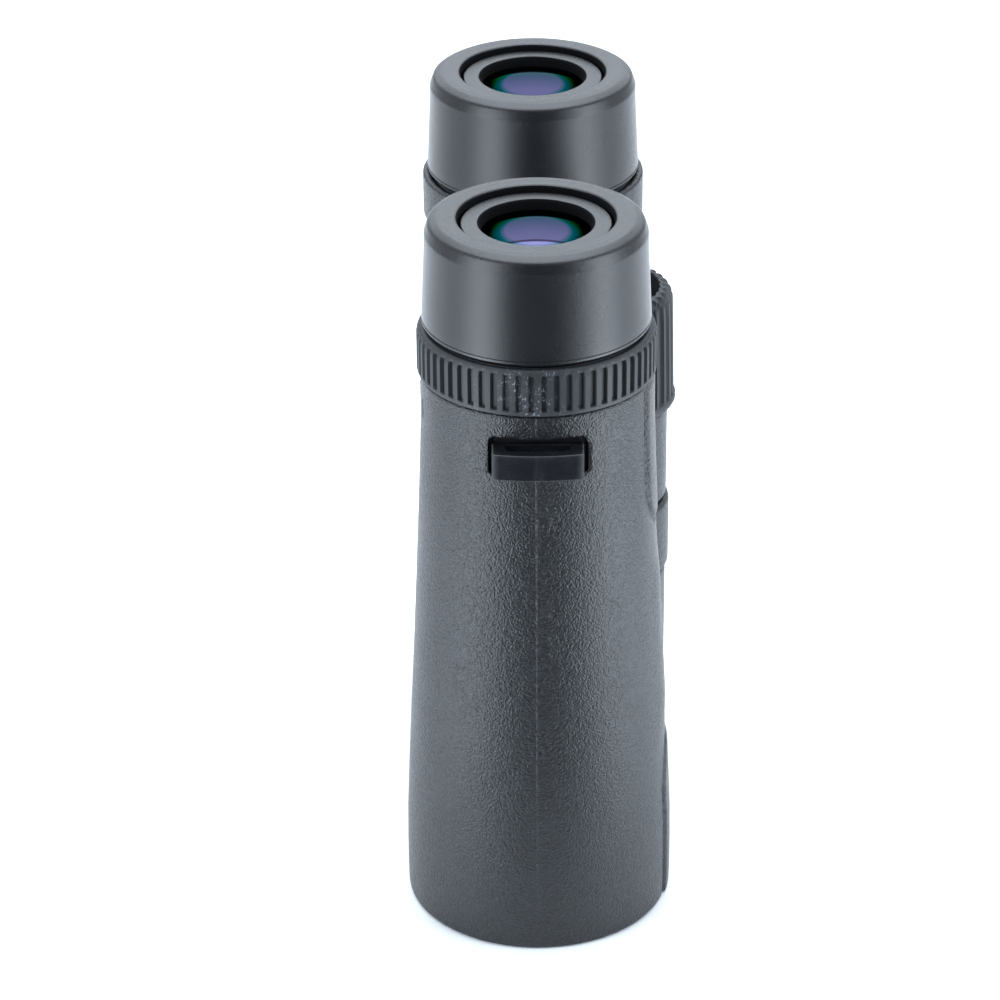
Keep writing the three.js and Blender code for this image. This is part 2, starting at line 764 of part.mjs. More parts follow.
function hingeParts() {
  const inner = axleRadius - axleWall;
  const reach = 2 * axleRadius;
  const half = armThickness / 2 + focusTravel + slip;
  const spread = Math.asin((armWidth / 2 + slip) / inner);
  const left = Math.atan2(hingeRise, eyeSpacing / 2);
  const right = Math.PI - left;
  const fold = THREE.MathUtils.degToRad(foldAngle);
  const windows = [
    sector(reach, left - spread, left + spread, leftArmCentre - half, leftArmCentre + half),
    sector(reach, right - fold - spread, right + spread, rightArmCentre - half, rightArmCentre + half),
  ];
  const tube = ring(inner, axleRadius, axleFoot, axleTop);
  const washerOuter = boreRadius + washerWidth;
  const upperWasher = middleKnuckleTop + seam - gap - washerHeight;
  const lowerWasher = lowerKnuckleTop + gap;
  const nutFoot = axleFoot + gap;
  return [
    piece("hinge_axle", shaped(tube, [], windows), finishes.steel),
    piece(
      "upper_hinge_washer",
      ring(boreRadius, washerOuter, upperWasher, upperWasher + washerHeight),
      finishes.brass,
    ),
    piece(
      "lower_hinge_washer",
      ring(boreRadius, washerOuter, lowerWasher, lowerWasher + washerHeight),
      finishes.brass,
    ),
    piece(
      "axle_lock_nut",
      ring(screwRadius, inner - gap, nutFoot, nutFoot + nutHeight),
      finishes.steel,
    ),
    piece(
      "hinge_end_cap",
      turned([
        [0, hingeFoot - gap - capHeight],
        [capWidth - 1, hingeFoot - gap - capHeight],
        [capWidth, hingeFoot - gap - capHeight / 2],
        [capWidth, hingeFoot - gap],
        [axleRadius, hingeFoot - gap],
        [axleRadius, axleFoot - gap],
        [0, axleFoot - gap],
      ]),
      finishes.blackPlastic,
    ),
  ];
}

function wheelParts() {
  const hubOuter = wheelRadius - gripWall;
  const web = hubFloor - hubWeb;
  const hub = [
    [axleRadius + slip, wheelFoot + gap],
    [hubOuter, wheelFoot + gap],
    [hubOuter, hubTop],
    [hubOuter - 1.5, hubTop],
    [hubOuter - 1.5, hubFloor],
    [screwRadius + gap, hubFloor],
    [screwRadius + gap, web],
    [axleRadius + slip, web],
  ];
  const chamfer = [
    [wheelRadius - wheelChamfer, wheelFoot - 1],
    [wheelRadius - wheelChamfer, wheelFoot],
    [wheelRadius, wheelFoot + wheelChamfer],
    [wheelRadius, wheelTop - wheelChamfer],
    [wheelRadius - wheelChamfer, wheelTop],
    [wheelRadius - wheelChamfer, wheelTop + 1],
    [wheelRadius + 1, wheelTop + 1],
    [wheelRadius + 1, wheelFoot - 1],
  ];
  const grip = shaped(
    upright(ribbed(wheelRadius, wheelRibDepth, wheelRibs), wheelFoot, wheelTop),
    [],
    [
      disc(hubOuter + gap, wheelFoot - 1, hubTop + gap, fineSides),
      disc(hubOuter - 1, hubTop, wheelTop + 1, fineSides),
      turned(chamfer, fineSides),
    ],
  );
  const screwTop = hubFloor + gap + screwHead;
  const screw = [
    [0, hubFloor - screwLength],
    [screwRadius, hubFloor - screwLength],
    [screwRadius, hubFloor + gap],
    [2 * screwRadius, hubFloor + gap],
    [2 * screwRadius, screwTop],
    [0, screwTop],
  ];
  return [
    piece("focus_wheel_hub", turned(hub), finishes.blackMetal),
    piece("focus_wheel_grip", grip, finishes.gripRubber),
    piece("focus_screw", turned(screw, 16), finishes.brass),
    piece(
      "focus_wheel_cover",
      disc(hubOuter - 1.5 - gap, screwTop + gap, screwTop + gap + coverHeight, fineSides),
      finishes.blackPlastic,
    ),
  ];
}

function driveRod() {
  const radius = axleRadius - axleWall - slip;
  const top = hubFloor - hubWeb - focusTravel - rodReach;
  const waist = screwRadius;
  const half = armThickness / 2 + gap;
  const foot = leftArmCentre - half - rodFlange;
  const corners = [[0, foot], [radius, foot]];
  for (const centre of [leftArmCentre, rightArmCentre])
    corners.push(
      [radius, centre - half],
      [waist, centre - half],
      [waist, centre + half],
      [radius, centre + half],
    );
  const bore = screwRadius + slip;
  const boreFoot = hubFloor - screwLength - focusTravel - rodEndPlay;
  corners.push([radius, top], [bore, top], [bore, boreFoot], [0, boreFoot]);
  return piece("focus_drive_rod", turned(corners), finishes.steel);
}

// ---------------------------------------------------------------- assembly

function barrel(side, prefix) {
  const group = new THREE.Group();
  group.position.set((side * eyeSpacing) / 2, 0, 0);
  const ocular = ocularParts(prefix);
  group.add(
    bodyShell(side, prefix + "body_shell"),
    armour(side, prefix + "armour"),
    ...objectiveParts(prefix),
    ...focusParts(side, prefix),
    ...prismParts(prefix),
    eyepieceHousing(prefix + "eyepiece_housing"),
    ...ocular.cell,
    ...ocular.fixed,
    eyecupCollar(prefix + "eyecup_click_collar"),
    ...eyecupParts(prefix),
    strapLug(side, prefix + "strap_lug"),
  );
  return group;
}

const binoculars = new THREE.Group();
const left = barrel(1, "left_");
const right = barrel(-1, "right_");
right.add(...dioptreParts());
const hinge = new THREE.Group();
hinge.position.set(0, -hingeRise, 0);
hinge.add(...hingeParts(), ...wheelParts(), driveRod());
binoculars.add(left, right, hinge);

export default binoculars;
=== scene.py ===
"""Looks of a pair of roof-prism binoculars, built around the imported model."""

import json
import math

import bmesh
import bpy
import numpy as np
import openvdb
from mathutils import Matrix, Vector


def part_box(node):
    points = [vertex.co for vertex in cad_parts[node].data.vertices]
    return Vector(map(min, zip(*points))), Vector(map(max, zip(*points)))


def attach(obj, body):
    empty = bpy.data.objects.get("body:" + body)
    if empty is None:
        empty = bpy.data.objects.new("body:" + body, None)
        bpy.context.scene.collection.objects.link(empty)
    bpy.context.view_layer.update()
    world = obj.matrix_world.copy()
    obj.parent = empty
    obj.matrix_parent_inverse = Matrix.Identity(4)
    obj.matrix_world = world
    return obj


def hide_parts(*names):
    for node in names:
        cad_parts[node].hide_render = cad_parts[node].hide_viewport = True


bl_info = {
    "name": "Binocular Looks",
    "version": (1, 0, 0),
    "blender": (4, 5, 0),
    "location": "3D View > Sidebar > Binoculars",
    "description": "Armour, eyecups, rings, wheel, lugs, optics and studio of a pair of binoculars",
    "category": "Object",
}

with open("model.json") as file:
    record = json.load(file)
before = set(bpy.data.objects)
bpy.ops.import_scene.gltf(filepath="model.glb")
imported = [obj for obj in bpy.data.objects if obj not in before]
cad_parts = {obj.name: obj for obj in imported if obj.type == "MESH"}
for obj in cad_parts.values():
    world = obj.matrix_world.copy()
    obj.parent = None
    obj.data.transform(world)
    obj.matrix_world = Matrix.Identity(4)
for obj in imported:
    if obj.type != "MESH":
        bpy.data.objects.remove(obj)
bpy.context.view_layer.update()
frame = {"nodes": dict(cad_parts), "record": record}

MM = 0.001
SIDES = {"left": 1, "right": -1}  # which way along X each barrel lies


def box_mm(node):
    """Lowest and highest corner of a part, in millimetres."""
    low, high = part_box(node)
    return low / MM, high / MM


def middle_mm(node):
    """Middle of a part, in millimetres."""
    low, high = box_mm(node)
    return (low + high) / 2


BARREL_X = {side: middle_mm(side + "_eyecup_rubber").x for side in SIDES}
HINGE = middle_mm("focus_wheel_hub")
HINGE_REACH = abs(BARREL_X["left"])  # along X, from the hinge to a barrel
RING_LOW, RING_HIGH = box_mm("dioptre_ring_grip")
COLLAR_RADIUS = RING_HIGH.y
ARMOUR_TOP = {side: box_mm(side + "_armour")[1].z for side in SIDES}


# ---------------------------------------------------------------- settings


class BinocularSizes(bpy.types.PropertyGroup):
    """Sizes of what is modelled in detail."""

    def length(name, description, default):
        kind = {"default": default * MM, "min": 0.0, "subtype": "DISTANCE", "unit": "LENGTH"}
        return bpy.props.FloatProperty(name=name, description=description, **kind)

    def count(name, description, default):
        return bpy.props.IntProperty(name=name, description=description, default=default, min=12)

    armour_wall: length("Armour wall", "Thickness of the rubber armour", 1.6)
    armour_fit: length("Armour fit", "Space between armour and body shell", 0.3)
    armour_voxel: length("Armour fineness", "Size of the steps that the armour is made in", 0.45)
    shell_voxel: length("Shell fineness", "Size of the steps that the body shell is made in", 0.8)
    panel_height: length("Panel height", "How far the two dorsal panels stand proud", 0.4)
    panel_groove: length("Panel groove", "Depth of the groove round each dorsal panel", 0.5)
    ring_rib: length("Ring rib", "Depth of the dioptre ring's flutes", 0.75)
    wheel_rib: length("Wheel rib", "Depth of the focus wheel's flutes", 0.75)
    ring_ribs: count("Ring ribs", "Flutes round the dioptre ring", 60)
    wheel_ribs: count("Wheel ribs", "Flutes round the focus wheel", 36)


class BinocularColours(bpy.types.PropertyGroup):
    """Base colours of the finishes."""

    def colour(name, description, default):
        kind = {"default": default, "min": 0.0, "max": 1.0, "size": 3, "subtype": "COLOR"}
        return bpy.props.FloatVectorProperty(name=name, description=description, **kind)

    armour: colour("Armour", "Leather-grained rubber of the barrels", (0.0088, 0.0102, 0.0128))
    eyecup: colour("Eyecup", "Satin rubber of the eyecups", (0.0065, 0.0070, 0.0085))
    grip: colour("Grip", "Rubber of the focus wheel and dioptre ring", (0.013, 0.015, 0.0175))
    plastic: colour("Plastic", "Body shells and inner rings", (0.014, 0.014, 0.016))
    lug: colour("Strap lug", "Smooth moulded plastic of the lugs", (0.008, 0.009, 0.011))
    coating: colour("Coating", "Reflected tint of the outer lenses", (0.29, 0.25, 0.50))
    floor: colour("Floor", "Studio floor", (0.93, 0.935, 0.95))


# ---------------------------------------------------------------- mesh helpers


def add_piece(name, verts, faces, body, look, *nodes, crease=35.0):
    """A mesh in millimetres becomes a piece that rides on a body and stands for some parts.

    look is the name of a finish, or the material of a coated lens.
    """
    material, slot = (finish(look), SLOTS[look]) if look in SLOTS else (look, "coated_glass")
    mesh = bpy.data.meshes.new(name)
    mesh.from_pydata((np.asarray(verts, float) * MM).tolist(), [], faces)
    mesh.validate()
    mesh.materials.append(material)
    mesh.shade_smooth()
    mesh.set_sharp_from_angle(angle=math.radians(crease))
    piece = bpy.data.objects.new(name, mesh)
    bpy.context.scene.collection.objects.link(piece)
    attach(piece, body)
    if nodes:
        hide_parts(*nodes)
    return piece


def softened(corners, steps=4):
    """An outline of (radius, height, rounding) corners with each corner rounded."""
    count = len(corners)
    points = []
    for i, (r, z, rounding) in enumerate(corners):
        here = Vector((r, z))
        before = Vector(corners[i - 1][:2]) - here
        after = Vector(corners[(i + 1) % count][:2]) - here
        if rounding <= 0 or before.length < 1e-6 or after.length < 1e-6:
            points.append((r, z))
            continue
        angle = before.angle(after)
        reach = min(rounding / math.tan(angle / 2), before.length * 0.48, after.length * 0.48)
        start = here + before.normalized() * reach
        end = here + after.normalized() * reach
        for j in range(steps + 1):
            t = j / steps
            point = start * (1 - t) ** 2 + here * 2 * t * (1 - t) + end * t**2
            points.append((point.x, point.y))
    return points


def turned(points, centre, columns=160, flute=None):
    """Vertices and faces of an outline turned about an upright axis.

    The outline closes on itself, or starts and ends on the axis. flute(radius, height, turn)
    gives the radius at each turn for fluted pieces.
    """
    open_ends = points[0][0] < 1e-6 and points[-1][0] < 1e-6
    turns = np.arange(columns) * 2 * math.pi / columns
    verts, rows = [], []
    for r, z in points:
        if r < 1e-6:
            rows.append([len(verts)])
            verts.append((centre[0], centre[1], z))
            continue
        radii = np.full(columns, r) if flute is None else flute(r, z, turns)
        rows.append(list(range(len(verts), len(verts) + columns)))
        across, along = centre[0] + radii * np.cos(turns), centre[1] + radii * np.sin(turns)
        verts += zip(across, along, [z] * columns)
    faces = []
    pairs = list(zip(rows, rows[1:]))
    if not open_ends:
        pairs.append((rows[-1], rows[0]))
    for low, high in pairs:
        for i in range(columns):
            j = (i + 1) % columns
            if len(low) == 1 and len(high) == 1:
                break
            if len(low) == 1:
                faces.append((low[0], high[j], high[i]))
            elif len(high) == 1:
                faces.append((low[i], low[j], high[0]))
            else:
                faces.append((low[i], low[j], high[j], high[i]))
    area = sum(a[0] * b[1] - b[0] * a[1] for a, b in zip(points, points[1:] + points[:1]))
    if area < 0:
        faces = [face[::-1] for face in faces]
    return verts, faces


def lens_face(radius, height, bulge, steps=10):
    """Outline of a lens face from its rim to the axis."""
    points = []
    for i in range(steps + 1):
        share = 1 - i / steps
        points.append((radius * share, height + bulge * (1 - share**2)))
    return points


def smoothstep(value, low, high):
    t = np.clip((value - low) / (high - low), 0.0, 1.0)
    return t * t * (3 - 2 * t)


def blended(a, b, reach):
    """Union of two distance fields with a fillet."""
    h = np.clip(0.5 + 0.5 * (b - a) / reach, 0.0, 1.0)
    return b * (1 - h) + a * h - reach * h * (1 - h)


def rounded_both(a, b, radius):
    """Space inside both distance fields, with the edge between them rounded."""
    inside = np.minimum(np.maximum(a + radius, b + radius), 0.0)
    return inside + np.hypot(np.maximum(a + radius, 0.0), np.maximum(b + radius, 0.0)) - radius


def meshed(field, origin, voxel, side):
    """Vertices and faces where a distance field is zero. The field's first axis points at the hinge."""
    grid = openvdb.FloatGrid(3.0 * voxel)
    grid.copyFromArray(np.clip(field, -3 * voxel, 3 * voxel).astype(np.float32))
    points, quads = grid.convertToQuads(isovalue=0.0)
    verts = points * voxel + np.array(origin)
    sign = SIDES[side]
    verts[:, 0] = BARREL_X[side] - sign * verts[:, 0]
    faces = quads if sign < 0 else quads[:, ::-1]
    return verts, faces.tolist()


# ---------------------------------------------------------------- materials


class Nodes:
    """Short way to write a tree of shader nodes."""

    def __init__(self, tree):
        self.tree = tree

    def put(self, socket, value):
        """Joins another node's output to a socket, or gives the socket a plain value."""
        if isinstance(value, bpy.types.NodeSocket):
            self.tree.links.new(value, socket)
        else:
            socket.default_value = value

    def add(self, kind, inputs=None, **settings):
        node = self.tree.nodes.new(kind)
        for key, value in settings.items():
            setattr(node, key, value)
        for key, value in (inputs or {}).items():
            self.put(node.inputs[key], value)
        return node

    def spread(self, value, low, high, to_low=0.0, to_high=1.0):
        values = {0: value, 1: low, 2: high, 3: to_low, 4: to_high}
        return self.add("ShaderNodeMapRange", values, clamp=True).outputs[0]

    def maths(self, operation, a, b=0.0, c=0.0):
        return self.add("ShaderNodeMath", {0: a, 1: b, 2: c}, operation=operation).outputs[0]


class Finish(Nodes):
    """A material being written."""

    def __init__(self, name):
        self.material = bpy.data.materials.new(name)
        self.material.use_nodes = True
        super().__init__(self.material.node_tree)
        self.shader = self.tree.nodes["Principled BSDF"]
        self.place = self.add("ShaderNodeTexCoord").outputs["Object"]

    def noise(self, scale, detail=2.0, roughness=0.5):
        values = {"Vector": self.place, "Scale": scale, "Detail": detail, "Roughness": roughness}
        return self.add("ShaderNodeTexNoise", values).outputs["Fac"]

    def vectors(self, operation, *values):
        return self.add("ShaderNodeVectorMath", dict(enumerate(values)), operation=operation).outputs

    def mix(self, share, a, b):
        node = self.add("ShaderNodeMix", {"Factor": share}, data_type="RGBA")
        for socket, value in ((node.inputs[6], a), (node.inputs[7], b)):
            self.put(socket, (*value, 1.0) if isinstance(value, tuple) else value)
        return node.outputs[2]

    def bump(self, height, distance, strength=1.0, under=None):
        values = {"Height": height, "Distance": distance, "Strength": strength}
        if under is not None:
            values["Normal"] = under
        return self.add("ShaderNodeBump", values).outputs["Normal"]

    def mould_line(self):
        """1 on the thin line that the two halves of a mould leave along the middle of each side."""
        across = self.add("ShaderNodeSeparateXYZ", {0: self.place}).outputs["Y"]
        off = self.maths("ABSOLUTE", self.maths("SUBTRACT", across, 0.0003))
        return self.spread(off, 0.00004, 0.00016, 1.0, 0.0)

    def done(self, colour, roughness, normal=None, **others):
        """The finished material. others are values of the shader's other sockets."""
        sockets = {"Base Color": colour, "Roughness": roughness}
        if normal is not None:
            sockets["Normal"] = normal
        for name, value in others.items():
            sockets[name.replace("_", " ")] = value
        for name, value in sockets.items():
            self.put(self.shader.inputs[name], value)
        return self.material


def darker(colour, factor):
    return tuple(c * factor for c in colour)


def leather_rubber(colour):
    """Rubber with a fine pebbled grain, creased in patches, with painted shade in the hollows of the
    grain and creases and painted highlights on its raised grit.
    """
    look = Finish("leather_rubber")
    drift = look.add("ShaderNodeTexNoise", {"Vector": look.place, "Scale": 520.0, "Detail": 2.0})
    bent = look.vectors("MULTIPLY_ADD", drift.outputs["Color"], (0.0016, 0.0016, 0.0016), look.place)[0]
    wide = {"Vector": bent, "Scale": 620.0}
    cells = look.add("ShaderNodeTexVoronoi", wide, feature="DISTANCE_TO_EDGE").outputs["Distance"]
    patch = look.spread(look.noise(110.0, 3.0), 0.42, 0.66, 0.12, 0.8)
    creases = look.maths("MULTIPLY", look.spread(cells, 0.0, 0.12, 1.0, 0.0), patch)
    beads = {"Vector": bent, "Scale": 2100.0, "Smoothness": 0.5}
    pebble = look.add("ShaderNodeTexVoronoi", beads, feature="SMOOTH_F1").outputs["Distance"]
    grit_and_highlight = look.noise(2500.0, 2.0, 0.6)
    height = look.maths("MULTIPLY_ADD", pebble, -0.8, grit_and_highlight)
    height = look.maths("MULTIPLY_ADD", creases, -0.4, height)
    cloud = look.spread(look.noise(38.0, 3.0), 0.3, 0.7)
    tone = look.mix(cloud, darker(colour, 0.9), darker(colour, 1.1))
    # painted shade: the tone darkens where the grain and creases lie low
    tone = look.mix(look.spread(height, -0.2, 0.25), darker(colour, 0.45), tone)
    # painted highlight: raised grit specks turn lighter
    tone = look.mix(look.spread(grit_and_highlight, 0.56, 0.74), tone, darker(colour, 1.9))
    normal = look.bump(look.mould_line(), 0.00012, 0.5, look.bump(height, 0.00018, 0.85))
    return look.done(tone, look.spread(height, -0.25, 0.35, 0.44, 0.30), normal)


def eyecup_rubber(colour):
    """Satin rubber with a very fine sparkle and handled patches."""
    look = Finish("eyecup_rubber")
    fine = look.noise(3400.0, 3.0, 0.75)
    mid = look.noise(900.0, 2.0)
    smear = look.spread(look.noise(70.0, 4.0, 0.6), 0.35, 0.7)
    tone = look.mix(look.spread(fine, 0.3, 0.7), darker(colour, 0.7), darker(colour, 1.4))
    normal = look.bump(fine, 0.00008, 0.7, look.bump(mid, 0.00003, 0.3))
    return look.done(tone, look.spread(smear, 0.0, 1.0, 0.24, 0.29), normal)


def grip_rubber(colour):
    """Matt rubber of the ribbed grips, with pale dust caught here and there."""
    look = Finish("grip_rubber")
    fine = look.noise(3300.0, 2.0, 0.6)
    specks = look.spread(look.noise(2300.0, 1.0, 0.4), 0.60, 0.68)
    parts = look.add("ShaderNodeSeparateXYZ", {0: look.place}).outputs
    across = look.maths("SUBTRACT", parts["Y"], 0.003)
    near = look.spread(look.maths("ABSOLUTE", across), 0.003, 0.010, 1.0, 0.0)
    far = look.spread(look.maths("ABSOLUTE", parts["X"]), 0.045, 0.052)
    outside = look.maths("MULTIPLY", near, far)
    area = look.maths("MULTIPLY", look.spread(look.noise(160.0, 2.0), 0.38, 0.58), outside)
    tone = look.mix(fine, darker(colour, 0.8), darker(colour, 1.25))
    tone = look.mix(look.maths("MULTIPLY", area, 0.12), tone, (0.075, 0.085, 0.095))
    tone = look.mix(look.maths("MULTIPLY", specks, area), tone, (0.26, 0.285, 0.31))
    return look.done(tone, look.spread(fine, 0.2, 0.8, 0.5, 0.62), look.bump(fine, 0.00004, 0.5))


def moulded_plastic(name, colour, roughness, grain, worn=1.0):
    """Moulded plastic: fine spark-eroded grain and edges polished by handling."""
    look = Finish(name)
    scuff = look.spread(look.noise(150.0, 4.0, 0.65), 0.42, 0.72)
    edge = look.spread(look.add("ShaderNodeNewGeometry").outputs["Pointiness"], 0.52, 0.62)
    tone = look.mix(scuff, colour, darker(colour, 1.25))
    tone = look.mix(look.maths("MULTIPLY", edge, 0.5 * worn), tone, (0.16, 0.17, 0.18))
    normal = look.bump(look.noise(grain, 2.0, 0.6), 0.00003, 0.4)
    return look.done(tone, look.spread(scuff, 0.0, 1.0, roughness, roughness + 0.1), normal)


def black_flock_and_painted_shade():
    """Dead black flocking of baffles, and the dead black of the liners that paint shade inside the
    eyecup rims.
    """
    look = Finish("black_flock_and_painted_shade")
    nap = look.noise(5000.0, 2.0, 0.7)
    tone = look.mix(nap, (0.0015, 0.0015, 0.0018), (0.004, 0.004, 0.005))
    roughness = look.spread(nap, 0.2, 0.8, 0.75, 0.9)
    return look.done(tone, roughness, look.bump(nap, 0.00005, 0.5), Specular_IOR_Level=0.08)


def machined_metal(name, colour, roughness):
    """Turned metal with fine tool rings round its height and a little stain."""
    look = Finish(name)
    waves = {"Vector": look.place, "Scale": 900.0, "Distortion": 0.6, "Detail": 1.0}
    rings = look.add("ShaderNodeTexWave", waves, bands_direction="Z").outputs["Fac"]
    stain = look.spread(look.noise(160.0, 4.0), 0.35, 0.7)
    tone = look.mix(stain, colour, darker(colour, 0.8))
    stained = look.spread(stain, 0.0, 1.0, roughness, roughness + 0.14)
    return look.done(tone, stained, look.bump(rings, 0.00002, 0.3), Metallic=1.0)


# Painted reflection: share of a coated lens's radius and the tint there, outwards from the coating's
# own; the teal and black bands paint the lens's reflections of the dark walls round it
LENS_PAINTED_REFLECTION_BANDS = (
    (0.68, (0.012, 0.048, 0.066)),
    (0.82, (0.005, 0.016, 0.022)),
    (0.93, (0.003, 0.004, 0.006)),
    (1.0, (0.004, 0.004, 0.006)),
)
LENS_MIDDLE = 0.56  # share of the radius that keeps the coating's own tint


def coated_lens(name, centre, radius, tint, drift=0.0):
    """Deep glass with the coating's own tint in the middle and a painted reflection towards the rim,
    first teal and then black. drift moves its middle along X.
    """
    look = Finish(name)
    middle = ((centre[0] + drift) * MM, centre[1] * MM, 0.0)
    flat = look.vectors("MULTIPLY", look.vectors("SUBTRACT", look.place, middle)[0], (1.0, 1.0, 0.0))[0]
    away = look.vectors("LENGTH", flat)["Value"]
    ramp = look.add("ShaderNodeValToRGB", {"Fac": look.maths("DIVIDE", away, radius * MM)})
    stops = ramp.color_ramp.elements
    own = darker(tint, 0.28)
    stops[0].color = (*own, 1)
    stops[1].position = LENS_MIDDLE
    stops[1].color = (*own, 1)
    # painted reflection: teal and then black bands towards the rim
    for at, tone in LENS_PAINTED_REFLECTION_BANDS:
        stops.new(at).color = (*tone, 1)
    haze = look.spread(look.noise(260.0, 3.0), 0.4, 0.8, 0.03, 0.07)
    edge_tint = (0.33, 0.42, 0.34, 1.0)
    return look.done(ramp.outputs["Color"], haze, Metallic=1.0, Specular_Tint=edge_tint)


def clear_glass():
    """Polished optical glass with the faintest green body and wiping marks."""
    look = Finish("clear_glass")
    wipe = look.spread(look.noise(300.0, 4.0), 0.45, 0.8, 0.01, 0.06)
    tone = look.mix(look.noise(60.0), (0.86, 0.92, 0.90), (0.92, 0.95, 0.95))
    return look.done(tone, wipe, Transmission_Weight=0.9, IOR=1.57)


def studio_floor(colour):
    """Pale painted floor."""
    look = Finish("studio_floor")
    tone = look.mix(look.noise(6.0, 3.0), darker(colour, 0.99), colour)
    normal = look.bump(look.noise(900.0), 0.00002, 0.2)
    return look.done(tone, 0.65, normal, Specular_IOR_Level=0.2)


MATERIALS = {}
SLOTS = {  # the slot that each finish belongs to
    "leather": "armour",
    "eyecup": "eyecup_rubber",
    "grip": "grip_rubber",
    "lug": "lug_plastic",
    "plastic": "black_plastic",
    "flock": "black_plastic",
    "mark": "black_plastic",
    "black_metal": "black_metal",
}


def finish(name):
    """A material of this object, made once."""
    if name not in MATERIALS:
        tones = bpy.context.scene.binocular_colours
        makers = {
            "leather": lambda: leather_rubber(tuple(tones.armour)),
            "eyecup": lambda: eyecup_rubber(tuple(tones.eyecup)),
            "grip": lambda: grip_rubber(tuple(tones.grip)),
            "plastic": lambda: moulded_plastic("black_plastic", tuple(tones.plastic), 0.42, 2600, 0.3),
            "lug": lambda: moulded_plastic("lug_plastic", tuple(tones.lug), 0.20, 4200, 0.9),
            "black_metal": lambda: machined_metal("black_anodised", (0.02, 0.02, 0.022), 0.42),
            "steel": lambda: machined_metal("turned_steel", (0.55, 0.55, 0.57), 0.26),
            "brass": lambda: machined_metal("turned_brass", (0.65, 0.45, 0.17), 0.28),
            "glass": clear_glass,
            "flock": black_flock_and_painted_shade,
            "mark": lambda: moulded_plastic("mark_paint", (0.008, 0.008, 0.009), 0.5, 3000.0, 0.0),
        }
        MATERIALS[name] = makers[name]()
    return MATERIALS[name]


# ---------------------------------------------------------------- barrels

# Outer radius of the armour at each height
BARREL_PROFILE = (
    (0, 26.0), (4, 26.1), (11, 26.1), (18, 26.0), (30, 25.5), (42, 24.9), (53, 24.3), (64, 23.75),
    (75, 23.25), (86, 22.75), (97, 22.3), (106, 22.0), (114, 21.95),
)
KNUCKLES = {  # foot, top, radius, whether the armour covers the foot and the top
    "left": ((68.9, 89.3, 13.5, False, True), (31.2, 52.8, 13.5, True, False)),
    "right": ((53.2, 68.5, 14.1, False, False),),
}
WEB_DORSAL, WEB_VENTRAL = 11.6, 8.5  # half widths of a knuckle's web
WEB_FILLET = 3.2
AXLE_BORE = 7.35
FRONT_BORE = 22.4
LIP_HEIGHT = 1.9  # the body shell's front edge, with its fit
BODY_BORE = (  # radius of the body shell's bore up to each height
    (8.0, 22.4), (14.6, 21.3), (41.5, 19.4), (65.3, 18.9),
    (66.2, 15.1), (101.9, 17.1), (103.1, 15.1), (130.0, 17.0),
)
ARM_CHANNEL = {"left": (42.75, 51.35), "right": (54.65, 63.25)}
ARM_CHANNEL_HALF = 3.35
WASHER_SINK = 10.65
LUG_BACK = 18.5  # barrel axis to the floor of the lug's pocket
LUG_POCKET = (9.2, 102.3, 109.9)  # half width, foot and top
LUG_POCKET_CORNER = 1.6  # rounding of its upper corners


def grid_axes(side, voxel):
    """Coordinates from a barrel's axis, with the first one pointing at the hinge."""
    top = ARMOUR_TOP[side]
    spans = ((-28.0, 53.5), (-29.0, 28.0), (-1.5, top + 1.5))
    return [np.arange(low, high, voxel, dtype=np.float32) for low, high in spans]


def barrel_fields(side, voxel):
    """Distance fields of one barrel without and with its knuckles, and its grid."""
    us, ys, zs = grid_axes(side, voxel)
    u, y, z = us[:, None, None], ys[None, :, None], zs[None, None, :]
    rho = np.hypot(u, y)
    heights, radii = zip(*BARREL_PROFILE)
    radius = np.interp(z, heights, radii)
    if side == "left":
        radius = radius + (COLLAR_RADIUS - radius) * smoothstep(z, RING_LOW.z - 0.7, RING_LOW.z + 0.3)
    barrel = rho - radius
    at_hinge = np.hypot(u - HINGE_REACH, y - HINGE.y)
    reach = math.hypot(HINGE_REACH, HINGE.y)
    along = (HINGE_REACH / reach, HINGE.y / reach)
    across = -(u * along[1] - y * along[0])  # positive away from the focus wheel
    forward = u * along[0] + y * along[1]
    web = np.maximum(np.maximum(-across - WEB_DORSAL, across - WEB_VENTRAL), forward - reach)
    web = np.maximum(web, -forward)
    return us, ys, zs, (u, y, z), barrel, at_hinge, web


def knuckle_plan(barrel, at_hinge, web, radius):
    """A knuckle with its web, flowing into the barrel, whatever the height."""
    return blended(blended(at_hinge - radius, web, 1.2), barrel, WEB_FILLET)


def dorsal_panels(sizes, u, y, z):
    """How far the two raised dorsal panels and their grooves move the surface out."""
    turn = np.degrees(np.arctan2(-y, -u))  # from the outer side towards the focus wheel
    turn = np.where(turn < -90, turn + 360, turn)
    upper_edge = 84.0 + 8.0 * np.clip((80.0 - turn) / 12.5, 0, 1) ** 2.2
    upper = np.minimum((42.5 - np.abs(turn - 110.0)) * 0.39, (z - upper_edge) * 0.8)
    lower_edge = 35.0 - 10.0 * np.clip((88.0 - turn) / 14.0, 0, 1) ** 2.2
    lower = np.minimum((36.0 - np.abs(turn - 110.0)) * 0.44, (lower_edge - z) * 0.8)
    inside = np.maximum(upper, lower)
    raised = sizes.panel_height / MM * smoothstep(inside, 0.2, 1.1)
    groove = sizes.panel_groove / MM * np.exp(-((inside / 0.42) ** 2))
    swell = 0.4 * smoothstep(-np.abs(turn - 110.0), -44.0, -28.0)
    swell = swell * smoothstep(z, 36.0, 46.0) * smoothstep(-z, -80.0, -68.0)
    return raised - groove + swell


def knuckle_ends(knuckle, z, inset, open_end):
    foot, top, _, cover_foot, cover_top = knuckle
    low = foot + (inset if cover_foot else open_end)
    high = top - (inset if cover_top else open_end)
    return np.maximum(low - z, z - high)


